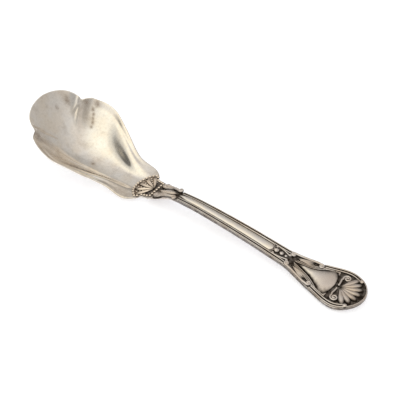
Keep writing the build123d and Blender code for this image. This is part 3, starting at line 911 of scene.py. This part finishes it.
class SpoonSizes(bpy.types.PropertyGroup):
    """Sizes of the spoon's edges and relief."""

    crease_softness: length("Crease softness", "Rounding of the two creases in the bowl", 0.5)
    handle_edge_round: length("Handle edge", "Rounding along the handle's upper edges", 0.35)
    handle_back_round: length("Handle back", "Rounding along the handle's lower edges", 0.9)
    neck_back_round: length("Neck back", "Rounding along the neck's lower edges", 1.6)
    reed_radius: length("Reed radius", "Radius of a reed along the stem", 0.2)
    reed_pitch: length("Reed pitch", "Distance between two reeds", 0.92)
    border_radius: length("Border reed radius", "Radius of a reed along the terminal's border", 0.28)
    border_pitch: length("Border reed pitch", "Distance between the border's reeds", 1.0)
    scroll_radius: length("Scroll band", "Radius of a scroll's band at its thickest", 0.46)
    scroll_eye: length("Scroll eye", "Radius of the bead in a scroll's eye", 0.42)
    thread_radius: length("Thread radius", "Radius of the thread round the panels", 0.15)
    thread_gap: length("Thread gap", "Distance from a panel's edge to its thread", 0.36)
    spray_height: length("Spray height", "Height of the shoulder sprays above the ground", 0.5)
    pearl_radius: length("Pearl radius", "Radius of the pearls round the heel palmette", 0.58)
    panel_dome: length("Stem panel dome", "Height of the stem panel above the ground", 0.55)
    pear_dome: length("Terminal panel dome", "Height of the terminal panel above the ground", 1.0)
    husk_height: length("Husk height", "Height of the neck husk above the ground", 0.7)
    petal_height: length("Palmette height", "Height of the heel palmette above the bowl", 0.7)
    flute_height: length("Shell height", "Height of the tip shell above the ground", 0.9)


class SpoonLook(bpy.types.PropertyGroup):
    """Colours and gloss of the spoon's metals."""

    silver: tint("Silver", "Bare silver of the bowl", (0.90, 0.87, 0.83))
    warm_silver: tint("Warm silver", "Silver under a thin warm tarnish", (0.89, 0.82, 0.73))
    relief_silver: tint("Relief silver", "Rubbed silver on the handle", (0.72, 0.675, 0.645))
    relief_warm: tint("Warm relief", "Rubbed silver under a thin tarnish", (0.60, 0.51, 0.44))
    heel_silver: tint("Heel silver", "Warmer silver of the heel's ornament", (0.95, 0.83, 0.71))
    panel_silver: tint("Panel silver", "Plain silver of the stem and terminal panels", (0.80, 0.765, 0.735))
    belly_silver: tint("Belly silver", "Warm tarnish on the terminal panel's belly", (0.70, 0.60, 0.53))
    # The oxide colour also paints the shade on the handle's side faces
    oxide_and_shade: tint("Oxide", "Dark oxide in the recesses", (0.035, 0.026, 0.02))
    # The film colour also paints shade on one ear and beside the bowl's notches
    film: tint("Film", "Brown film on the bowl and between the palmette's petals", (0.26, 0.19, 0.135))
    tarnish: amount("Tarnish", "Depth of the stains over the bowl", 0.28)
    solder: tint("Solder", "Solder at the scarf joint", (0.5, 0.47, 0.43))
    bowl_roughness: amount("Bowl roughness", "Softness of the bowl's reflections", 0.13)
    relief_roughness: amount("Relief roughness", "Softness of the relief's reflections", 0.27)


class SpoonStage(bpy.types.PropertyGroup):
    """Table, light and camera."""

    table: tint("Table", "Colour of the pale table", (0.83, 0.86, 0.94))
    lift: amount("Table lift", "Share of white that the table adds for the camera and in the metal", 0.42)
    sky: amount("Sky", "Strength of the soft sky", 1.25, 5.0)
    key: amount("Key light", "Power of the soft light overhead, in watts", 0.3, 50.0)
    lens: bpy.props.FloatProperty(name="Lens", description="Focal length in millimetres", default=63.0)
    distance: length("Camera distance", "Distance from the camera to its target", 278.3)
    azimuth: angle("Azimuth", "Camera's turn round the spoon", 36.41)
    elevation: angle("Elevation", "Camera's height above the table", 43.47)


# Bowl and handle
class SPOON_OT_bowl(bpy.types.Operator):
    """Raise the lobed bowl"""

    bl_idname = "spoon.bowl"
    bl_label = "Bowl"

    def execute(self, context):
        softness = context.scene.spoon_sizes.crease_softness
        front = np.concatenate([crowded(0.0, NOTCH, 32), np.linspace(NOTCH, SCARF_START, 120)[1:]])
        heel = np.linspace(0.0, 1.0, 24)[1:]
        grids = []
        for is_upper in (True, False):
            height = heel_line if is_upper else lambda d: heel_line(d) - ease(d, WALLS)
            end = scarf_crossing(height, -SOLDER_FILM / 2)
            rows = np.concatenate([front, SCARF_START + (end - SCARF_START) * heel])[:, None]
            y = bowl_edge(rows) * spread(121)
            wall = ease(rows, WALLS)
            inset = plan_inset(rows, y, bowl_edge)
            z = hollow(rows, y, softness)
            if is_upper:
                z = z - edge_drop(inset, np.minimum(wall / 2, LIP_ROUND))
            else:
                z = np.maximum(z - wall, 0.0) + edge_drop(inset, wall / 2)
            grids.append(together(along(rows), y, z))
        mesh = shell_between("bowl_mesh", *grids, open_start=True)
        set_mark(mesh, "film", self.brown_film_and_shade(points_of(mesh), softness))
        finish_piece(mesh, "raised_bowl", "bowl", "polished_silver")
        return {"FINISHED"}

    def brown_film_and_shade(self, points, softness):
        """Film in the hollow: tarnish full between the petals, thin painted shade on one ear, and stains and
        pits, with painted shade beside the two notches.
        """
        x, y, z = points.T
        distance = from_tip(x)
        reach = np.hypot(distance - PALMETTE_ROOT, y)
        turn = np.abs(np.arctan2(y, PALMETTE_ROOT - distance))
        near = ramp(reach, PALMETTE_REACH + 1.2 * MM, PALMETTE_REACH + 0.2 * MM)
        inside = ramp(turn, radians(72), radians(62))
        on_top = z > heel_line(distance) - 0.5 * MM
        # Painted shade on the left ear
        ear = ramp(distance, WAIST - 4 * MM, WAIST + 4 * MM) * ramp(-y, 5.5 * MM, 8.0 * MM)
        film = np.maximum(near * inside * on_top, EAR_SHADE * ear)
        # Stains and pits, and painted shade beside the two notches
        for place, side, size, depth in STAINS_AND_SHADE:
            away = np.hypot(distance - place * MM, y - side * MM) / (size * MM)
            film = np.maximum(film, depth * np.exp(-(away**2)))
        return film * (z > hollow(distance, y, softness) - FILM_AND_SHADE_DEPTH)


class SPOON_OT_handle(bpy.types.Operator):
    """Forge the handle's blank with its dark ground"""

    bl_idname = "spoon.handle"
    bl_label = "Handle"

    def execute(self, context):
        sizes = context.scene.spoon_sizes
        rounding = [(COLLAR_AT, sizes.neck_back_round), (STEM_START + 4 * MM, sizes.handle_back_round)]
        tip = LENGTH - crowded(0.0, LENGTH - FLARE, 34)[::-1]
        grids = []
        for height in (crown, back):
            start = scarf_crossing(height, SOLDER_FILM / 2)
            rows = np.concatenate([np.linspace(start, FLARE, 190)[:-1], tip])[:, None]
            y = handle_edge(rows) * spread(33)
            inset = handle_inset(rows, y)
            if height is crown:
                z = height(rows) - edge_drop(inset, sizes.handle_edge_round)
            else:
                z = height(rows) + edge_drop(inset, ease(rows, rounding))
            grids.append(together(along(rows), y, z))
        mesh = shell_between("handle_mesh", *grids, open_end=True)
        x, y, z = points_of(mesh).T
        distance = from_tip(x)
        inset = handle_inset(distance, y)
        ground = np.where(distance < HUSK_START, HEEL_POLISH, GROUND_POLISH)
        ground = np.where(inset < 0.2 * MM, EDGE_POLISH, ground)
        # The outermost top corners and the side faces get a low polish, which paints shade on the handle's
        # sides
        ground = np.where(inset < 0.04 * MM, CORNER_SHADE, ground)
        under = np.where(inset < 0.5 * MM, SIDE_SHADE, BACK_POLISH)
        under = np.where(distance < HUSK_END, NECK_POLISH, under)
        is_upper = crown(distance) - z < 1.1 * sizes.handle_edge_round
        set_mark(mesh, "polish", np.where(is_upper, ground, under))
        finish_piece(mesh, "forged_handle", "handle", "oxidised_silver")
        return {"FINISHED"}


class SPOON_OT_solder(bpy.types.Operator):
    """Run the solder film through the scarf joint, filed back to the metal round it"""

    bl_idname = "spoon.solder"
    bl_label = "Solder seam"

    def execute(self, context):
        depth = np.linspace(0.0, 1.0, 21)[:, None]
        filed = SOLDER_FILED + NECK_THICKNESS / 2 * (1 - np.sqrt(1 - (2 * depth - 1) ** 2))
        grids = []
        for offset in (SOLDER_FILM / 2, -SOLDER_FILM / 2):
            start = scarf_crossing(heel_line, offset)
            end = scarf_crossing(lambda d: heel_line(d) - NECK_THICKNESS, offset)
            rows = start + (end - start) * depth
            y = (bowl_edge(rows) - filed) * spread(41)
            z = heel_line(start) + (heel_line(end) - NECK_THICKNESS - heel_line(start)) * depth
            grids.append(together(along(rows), y, z))
        mesh = shell_between("seam_mesh", *grids)
        finish_piece(mesh, "filed_solder_seam", "solder_seam", "hard_solder")
        return {"FINISHED"}


# Relief
class SPOON_OT_palmette(bpy.types.Operator):
    """Lay the fan of lobes on the bowl's heel"""

    bl_idname = "spoon.palmette"
    bl_label = "Heel palmette"

    def execute(self, context):
        size = (PALMETTE_REACH, PALMETTE_PETAL_WIDTH, context.scene.spoon_sizes.petal_height)
        turns = (pi - PALMETTE_SPREAD / 2, pi + PALMETTE_SPREAD / 2)
        root = (PALMETTE_ROOT, 0.0)
        names = ("heel_palmette", "warm_relief")
        lay_fan("cast_palmette", PALMETTE_PETALS, turns, size, root, 0.35, on_heel, 0.2, *names)
        return {"FINISHED"}


class SPOON_OT_pearls(bpy.types.Operator):
    """Set a beaded edge round the palmette and a row of pearls at its root"""

    bl_idname = "spoon.pearls"
    bl_label = "Heel pearls"

    def execute(self, context):
        size = context.scene.spoon_sizes.pearl_radius
        gaps = PALMETTE_PETALS - 1
        turns = np.linspace(-radians(58), radians(58), 13)
        between = (np.arange(gaps) - (gaps - 1) / 2) * PALMETTE_SPREAD / gaps
        rings = [(turns, PALMETTE_REACH + 0.8 * size)]
        rings += [(between, reach * MM) for reach in (4.6, 5.8, 7.0)]
        places = [
            (PALMETTE_ROOT - reach * cos(turn), reach * sin(turn)) for ring, reach in rings for turn in ring
        ]
        radii = [size] * len(turns) + [0.75 * size] * (len(places) - len(turns))
        edge = [(PALMETTE_ROOT + 1.2 * MM, y) for y in np.linspace(-4.2, 4.2, 7) * MM]
        for before_root in (0.0, 1.15, 2.3, 3.4):
            place = PALMETTE_ROOT - before_root * MM
            edge += [(place, side * (bowl_edge(place) - 0.75 * size)) for side, _ in HANDS]
        places += edge
        radii += [size] * len(edge)
        lay_beads("heel_pearls", places, radii, 0.85, on_heel, 0.0, 0.8 * size, finish="warm_relief")
        return {"FINISHED"}


class SPOON_OT_husk(bpy.types.Operator):
    """Chase the pointed leaf on the neck"""

    bl_idname = "spoon.husk"
    bl_label = "Neck husk"

    def execute(self, context):
        top = context.scene.spoon_sizes.husk_height
        middle = (HUSK_START + HUSK_END) / 2
        reach = (HUSK_END - HUSK_START) / 2

        def half_width(distance):
            return HUSK_HALF_WIDTH * np.maximum(1 - ((distance - middle) / reach) ** 2, 0.0)

        def height(distance, across):
            rib_width = 0.16
            body = np.sqrt(1 - across**2)
            rib = 0.25 * np.exp(-((across / rib_width) ** 2))
            veins = 0.14 * np.cos((distance - middle) / MM * 7.0 + across * 7.0)
            fade = ramp(half_width(distance), 0.0, 0.5 * MM)
            return top * fade * body * (0.72 + rib + veins * (across > rib_width))

        mesh = raised_panel("husk_mesh", middle + reach * spread(90), half_width, height, 41)
        x, _, z = points_of(mesh).T
        set_mark(mesh, "polish", (z - crown(from_tip(x))) / (0.75 * top))
        finish_piece(mesh, "chased_husk", "neck_husk")
        return {"FINISHED"}


class SPOON_OT_panels(bpy.types.Operator):
    """Raise the stem's lancet panel and the terminal's plain pear panel"""

    bl_idname = "spoon.panels"
    bl_label = "Panels"

    def execute(self, context):
        sizes = context.scene.spoon_sizes

        def lancet_height(distance, across):
            fade = ramp(lancet(distance), 0.0, 0.6 * MM)
            return sizes.panel_dome * fade * np.sqrt(1 - across**2.2)

        def pear_height(distance, across):
            fade = ramp(pear(distance), 0.0, 0.8 * MM)
            swell = 0.7 + 0.3 * np.sin(pi * ramp(distance, PEAR_START, PEAR_END))
            return sizes.pear_dome * swell * fade * (1 - across**2.2) ** 0.6

        lancet_rows = panel_rows(STEM_START, PANEL_POINT, PANEL_SIDE_END, PANEL_END, (20, 90, 18))
        pear_rows = panel_rows(PEAR_START, PEAR_NECK, PEAR_BELLY, PEAR_END, (24, 30, 24))
        pieces = (
            ("stem_panel", lancet_rows, lancet, lancet_height, sizes.panel_dome / 1.8),
            ("terminal_panel", pear_rows, pear, pear_height, sizes.pear_dome / 1.2),
        )
        for node, rows, half_width, height, full in pieces:
            name = f"domed_{node}"
            mesh = raised_panel(f"{name}_mesh", rows, half_width, height, 49)
            x, _, z = points_of(mesh).T
            distance = from_tip(x)
            belly = ramp(distance, PEAR_NECK, PEAR_BELLY)
            # Painted shade: the terminal panel is darker towards its neck than at its belly
            dull = np.where(distance < PEAR_START, 0.0, 0.25 * (1 - belly))
            set_mark(mesh, "polish", np.clip((z - crown(distance)) / full - 0.1, 0.0, 1.0) - dull)
            set_mark(mesh, "warmth", belly)
            finish_piece(mesh, name, node, finish="plain_panel")
        return {"FINISHED"}


class SPOON_OT_reeds(bpy.types.Operator):
    """Run the reeds along both edges of the stem and of the terminal, and a rim round the tip"""

    bl_idname = "spoon.reeds"
    bl_label = "Stem mouldings and borders"

    def execute(self, context):
        sizes = context.scene.spoon_sizes
        rows = np.linspace(STEM_START + 0.85 * MM, STEM_END + 1.5 * MM, 60)
        stem = together(rows, handle_edge(rows) - STEM_REED_INSET)
        border = rim_line(BORDER_START, BORDER_INSET)
        border = border[(border[:, 0] < BORDER_END) & (border[:, 1] > 0)]
        mouldings = (
            ("stem_moulding", stem, sizes.reed_radius, sizes.reed_pitch),
            ("border", border, sizes.border_radius, sizes.border_pitch),
        )
        for side, hand in HANDS:
            for kind, line, radius, pitch in mouldings:
                node = f"{kind}_{hand}"
                lay_reeds(f"reeded_{node}", [line * (1, side)], radius, 2, pitch, node)
        rim = rim_line(STEM_END, RIM_INSET)
        lay_reeds("tip_rim", [rim[rim[:, 0] > BORDER_END - 0.6 * MM]], 1.15 * sizes.reed_radius)
        ends = [border[-1] * (1, side) for side, _ in HANDS]
        radii = [BORDER_BEAD] * len(ends)
        lay_beads("border_beads", ends, radii, 0.8, on_handle, 0.1 * MM, 0.7 * MM)
        return {"FINISHED"}


class SPOON_OT_threads(bpy.types.Operator):
    """Lay a fine thread round the stem panel and three along each side of the terminal panel"""

    bl_idname = "spoon.threads"
    bl_label = "Panel threads"

    def execute(self, context):
        sizes = context.scene.spoon_sizes
        gap = sizes.thread_gap
        rows = np.linspace(PANEL_SIDE_END - THREAD_RUN, PANEL_SIDE_END, 40)
        turns = np.linspace(-pi / 2, pi / 2, 25)[1:-1]
        reach = PANEL_END - PANEL_SIDE_END + gap
        bend = together(PANEL_SIDE_END + reach * np.cos(turns), reach * np.sin(turns))
        left = together(rows, -lancet(rows) - gap)
        thread = np.concatenate([left, bend, (left * (1, -1))[::-1]])
        lay_reeds("stem_panel_thread", [thread], sizes.thread_radius)
        lines = []
        flank = np.linspace(PEAR_START - THREAD_PITCH, PEAR_BELLY + 2.0 * MM, 120)
        room = handle_edge(flank) - np.where(flank < STEM_END + 13 * MM, 1.2, 2.1) * MM
        for row in range(3):
            y = pear(flank) + THREAD_START + THREAD_PITCH * row
            keep = (y < room) & (flank > PEAR_START + (row - 1) * THREAD_PITCH)
            lines += [together(flank[keep], side * y[keep]) for side, _ in HANDS]
        lay_reeds("terminal_panel_threads", lines, 1.1 * sizes.thread_radius)
        return {"FINISHED"}


class SPOON_OT_sprays(bpy.types.Operator):
    """Lay sprays of three leaves on both shoulders and on both sides of the neck"""

    bl_idname = "spoon.sprays"
    bl_label = "Shoulder and neck sprays"

    def execute(self, context):
        height = context.scene.spoon_sizes.spray_height
        sprays = (
            ("shoulder_spray", (122.8, 1.9), (9, 24), (7.2 * MM, 1.1 * MM, height)),
            ("neck_spray", (67.8, 1.5), (174, 152), (7.2 * MM, 1.4 * MM, 1.8 * height)),
        )
        for name, place, degrees, size in sprays:
            for side, hand in HANDS:
                turns = [side * radians(turn) for turn in degrees]
                root = (place[0] * MM, side * place[1] * MM)
                lay_fan(f"{name}_{hand}", 3, turns, size, root, 0.3, on_handle, 0.3)
        return {"FINISHED"}


class SPOON_OT_scrolls(bpy.types.Operator):
    """Bend the scrolls of the collar and the shoulders, beside the beads and at the shell"""

    bl_idname = "spoon.scrolls"
    bl_label = "Scrolls"

    def execute(self, context):
        sizes = context.scene.spoon_sizes
        band, eye = sizes.scroll_radius, sizes.scroll_eye
        collar = [
            curl((61.9, 2.9), pi / 2, 1.0, 0.75, 0.2)[::-1],
            [(63.6, 3.3), (66.75, 2.6), (68.6, 2.3)],
            curl((70.1, 2.5), -pi / 2 - 0.5, 1.0, 0.7, 0.2),
        ]
        rows = np.array([123.6, 125.5, 127.5, 129.3])
        shoulder = [
            curl((121.3, 2.5), pi / 2 - 0.3, 1.1, 0.85, 0.2)[::-1],
            together(rows, handle_edge(rows * MM) / MM - 0.5),
            curl((131.5, 4.7), pi / 2 + 0.4, -1.1, 0.9, 0.2),
        ]
        bead = [
            curl((114.9, 1.75), pi / 2, 0.8, 0.4, 0.15)[::-1],
            [(116.4, 2.0), (118.0, 1.75), (119.4, 1.35)],
            curl((120.4, 1.45), -pi / 2 - 0.6, 0.9, 0.4, 0.15),
        ]
        volute = [
            [(140.6, 0.9), (140.5, 2.2), (140.3, 3.7)],
            curl((141.8, 5.0), pi + 0.5, -1.4, 1.45, 0.3),
        ]
        for side, hand in HANDS:
            for kind, parts, size in (("collar", collar, 1.3 * band), ("shoulder", shoulder, band)):
                node = f"{kind}_scroll_{hand}"
                lay_scroll(f"bent_{node}", parts, side, size, eye, node)
            lay_scroll(f"bead_scroll_{hand}", bead, side, 0.6 * band, 0.7 * eye)
            lay_scroll(f"tip_volute_{hand}", volute, side, 0.85 * band, eye)
        return {"FINISHED"}


class SPOON_OT_beads(bpy.types.Operator):
    """Set the graduated beads below the stem panel"""

    bl_idname = "spoon.beads"
    bl_label = "Bead drop"

    def execute(self, context):
        beads = knots((115.35, 1.0), (117.55, 0.85), (119.4, 0.65))
        places = [(place, 0.0) for place, _ in beads]
        radii = [radius for _, radius in beads]
        lay_beads("graduated_beads", places, radii, 0.85, on_handle, 0.1 * MM, 0.6 * MM, "bead_drop")
        return {"FINISHED"}


class SPOON_OT_shell(bpy.types.Operator):
    """Flute the shell at the handle's tip"""

    bl_idname = "spoon.shell"
    bl_label = "Tip shell"

    def execute(self, context):
        size = (SHELL_REACH, SHELL_FLUTE_WIDTH, context.scene.spoon_sizes.flute_height)
        turns = (-SHELL_HALF_SPREAD, SHELL_HALF_SPREAD)
        root = (SHELL_ROOT, 0.0)
        lay_fan("fluted_shell", SHELL_FLUTES, turns, size, root, 0.0, on_handle, 0.35, "tip_shell")
        return {"FINISHED"}


# Stage, in metres: reach of the table's level middle, its whole reach and the rise of its edge
TABLE_FLAT = 3.0
TABLE_REACH = 10.0
TABLE_RISE = 0.42
TABLE_DROP = 0.02 * MM
SOFTBOX_AT = Vector((0.1, 0.15, 0.6))
SOFTBOX_SIZE = 0.5
CAMERA_TARGET = Vector((-0.7 * MM, 8.44 * MM, 0.0))

# Sky: levels from below to straight at its top, and dark discs by centre, inner and outer angle and depth
SKY_TOP = (-0.2, -0.35, 0.92)
SKY_LEVELS = (
    (0.45, (0.408, 0.392, 0.372)),
    (0.60, (0.496, 0.476, 0.452)),
    (0.75, (0.588, 0.568, 0.54)),
    (0.86, (0.672, 0.648, 0.616)),
    (0.95, (0.90, 0.865, 0.75)),
    (1.0, (0.98, 0.935, 0.81)),
)
SKY_DARKS = (
    ((0.68, -0.40, 0.61), 8.0, 20.0, 0.4),
    ((-0.85, -0.50, 0.15), 12.0, 42.0, 0.4),
    ((-0.71, -0.58, 0.40), 6.5, 9.0, 0.85),
    ((-0.35, 0.85, 0.40), 10.0, 32.0, 0.3),
)
SKY_DARK = (0.03, 0.032, 0.03)


class SPOON_OT_stage(bpy.types.Operator):
    """Set the pale table, the soft light and the camera"""

    bl_idname = "spoon.stage"
    bl_label = "Stage"

    def execute(self, context):
        stage = context.scene.spoon_stage
        self.lay_table(stage)
        self.light_sky(context.scene, stage)
        self.hang_softbox(stage)
        self.set_camera(context.scene, stage)
        context.scene.view_settings.view_transform = "Standard"
        return {"FINISHED"}

    def lay_table(self, stage):
        """Pale table that shows white to the camera and in the metal, and keeps the shadow.

        Far out it rises a little, so that a low camera doesn't look past its edge.
        """
        mesh = bpy.data.meshes.new("table_mesh")
        count = 96
        turns = 2 * pi * np.arange(count) / count
        ring = together(np.cos(turns), np.sin(turns))
        points = [(x, y, -TABLE_DROP) for x, y in TABLE_FLAT * ring]
        points += [(x, y, TABLE_RISE) for x, y in TABLE_REACH * ring]
        faces = [tuple(range(count))]
        faces += [(k, count + k, count + (k + 1) % count, (k + 1) % count) for k in range(count)]
        mesh.from_pydata(points, [], faces)
        material = bpy.data.materials.new("pale_table")
        material.use_nodes = True
        tree = material.node_tree
        tree.nodes.remove(tree.nodes["Principled BSDF"])
        diffuse = add(tree, "ShaderNodeBsdfDiffuse", {"Color": colour(stage.table)})
        rays = ("Is Camera Ray", "Is Glossy Ray", "Is Transmission Ray")
        camera, glossy, through = add_all(tree, "ShaderNodeLightPath", rays)
        seen = add(tree, "ShaderNodeMath", {0: camera + glossy, 1: through}, use_clamp=True)
        glow = add(tree, "ShaderNodeEmission", {"Strength": seen * stage.lift})
        both = add(tree, "ShaderNodeAddShader", {0: diffuse, 1: glow})
        feed(tree, tree.nodes["Material Output"], {"Surface": both})
        mesh.materials.append(material)
        table = put("table", mesh)

    def light_sky(self, scene, stage):
        """Soft sky: warm and bright overhead, greyer low down, with the dark of the camera's side in it."""
        world = bpy.data.worlds.new("soft_sky")
        world.use_nodes = True
        tree = world.node_tree
        way = add(tree, "ShaderNodeTexCoord", out="Generated")
        height = remap(tree, self.towards(tree, way, SKY_TOP), -1.0, 1.0, 0.0, 1.0)
        sky = add(tree, "ShaderNodeValToRGB", {"Fac": height}, "Color")
        band = sky.socket.node.color_ramp
        band.interpolation = "B_SPLINE"
        for index, (place, level) in enumerate(SKY_LEVELS):
            element = band.elements[index] if index < 2 else band.elements.new(place)
            element.position = place
            element.color = colour(level)
        for centre, inner, outer, depth in SKY_DARKS:
            near = self.towards(tree, way, centre)
            cover = remap(tree, near, cos(radians(outer)), cos(radians(inner)), 0.0, depth)
            sky = blend(tree, cover, sky, colour(SKY_DARK))
        feed(tree, tree.nodes["Background"], {"Color": sky, "Strength": stage.sky})
        scene.world = world

    def towards(self, tree, way, centre):
        """How far a direction looks towards a centre: 1 is straight at it."""
        inputs = {0: way, 1: Vector(centre).normalized()}
        return add(tree, "ShaderNodeVectorMath", inputs, "Value", operation="DOT_PRODUCT")

    def hang_softbox(self, stage):
        """Wide soft light overhead, which the metal doesn't mirror."""
        light = bpy.data.lights.new("softbox", "AREA")
        light.shape = "DISK"
        light.size = SOFTBOX_SIZE
        light.energy = stage.key
        box = put("softbox", light)
        box.location = SOFTBOX_AT
        box.rotation_euler = (-SOFTBOX_AT).to_track_quat("-Z", "Y").to_euler()
        box.visible_glossy = False

    def set_camera(self, scene, stage):
        """Camera at the photograph's angle."""
        data = bpy.data.cameras.new("camera")
        data.lens = stage.lens
        data.sensor_width = 36.0
        data.clip_start = 0.01
        camera = put("camera", data)
        turn, rise = stage.azimuth, stage.elevation
        forward = Vector((-sin(turn) * cos(rise), cos(turn) * cos(rise), -sin(rise)))
        camera.location = CAMERA_TARGET - forward * stage.distance
        camera.rotation_euler = forward.to_track_quat("-Z", "Y").to_euler()
        scene.camera = camera


OPERATORS = (
    SPOON_OT_bowl,
    SPOON_OT_handle,
    SPOON_OT_solder,
    SPOON_OT_palmette,
    SPOON_OT_pearls,
    SPOON_OT_husk,
    SPOON_OT_panels,
    SPOON_OT_reeds,
    SPOON_OT_threads,
    SPOON_OT_sprays,
    SPOON_OT_scrolls,
    SPOON_OT_beads,
    SPOON_OT_shell,
    SPOON_OT_stage,
)


class SPOON_PT_panel(bpy.types.Panel):
    """Sidebar list of the spoon's pieces, sizes and colours"""

    bl_label = "Sugar spoon"
    bl_idname = "SPOON_PT_panel"
    bl_space_type = "VIEW_3D"
    bl_region_type = "UI"
    bl_category = "Spoon"

    def draw(self, context):
        for operator in OPERATORS:
            self.layout.operator(operator.bl_idname)
        for key, _ in GROUPS:
            group = getattr(context.scene, key)
            for name in group.__annotations__:
                self.layout.prop(group, name)


GROUPS = (("spoon_sizes", SpoonSizes), ("spoon_look", SpoonLook), ("spoon_stage", SpoonStage))


def register():
    """Register the classes and hang the properties on the scene."""
    for key, group in GROUPS:
        bpy.utils.register_class(group)
        setattr(bpy.types.Scene, key, bpy.props.PointerProperty(type=group))
    for made in (*OPERATORS, SPOON_PT_panel):
        bpy.utils.register_class(made)


def unregister():
    """Take the classes and properties away again."""
    for made in (SPOON_PT_panel, *reversed(OPERATORS)):
        bpy.utils.unregister_class(made)
    for key, group in reversed(GROUPS):
        delattr(bpy.types.Scene, key)
        bpy.utils.unregister_class(group)


def main():
    register()
    bpy.ops.spoon.bowl()
    bpy.ops.spoon.handle()
    bpy.ops.spoon.solder()
    bpy.ops.spoon.palmette()
    bpy.ops.spoon.pearls()
    bpy.ops.spoon.husk()
    bpy.ops.spoon.panels()
    bpy.ops.spoon.reeds()
    bpy.ops.spoon.threads()
    bpy.ops.spoon.sprays()
    bpy.ops.spoon.scrolls()
    bpy.ops.spoon.beads()
    bpy.ops.spoon.shell()
    bpy.ops.spoon.stage()


if __name__ == "__main__":
    main()
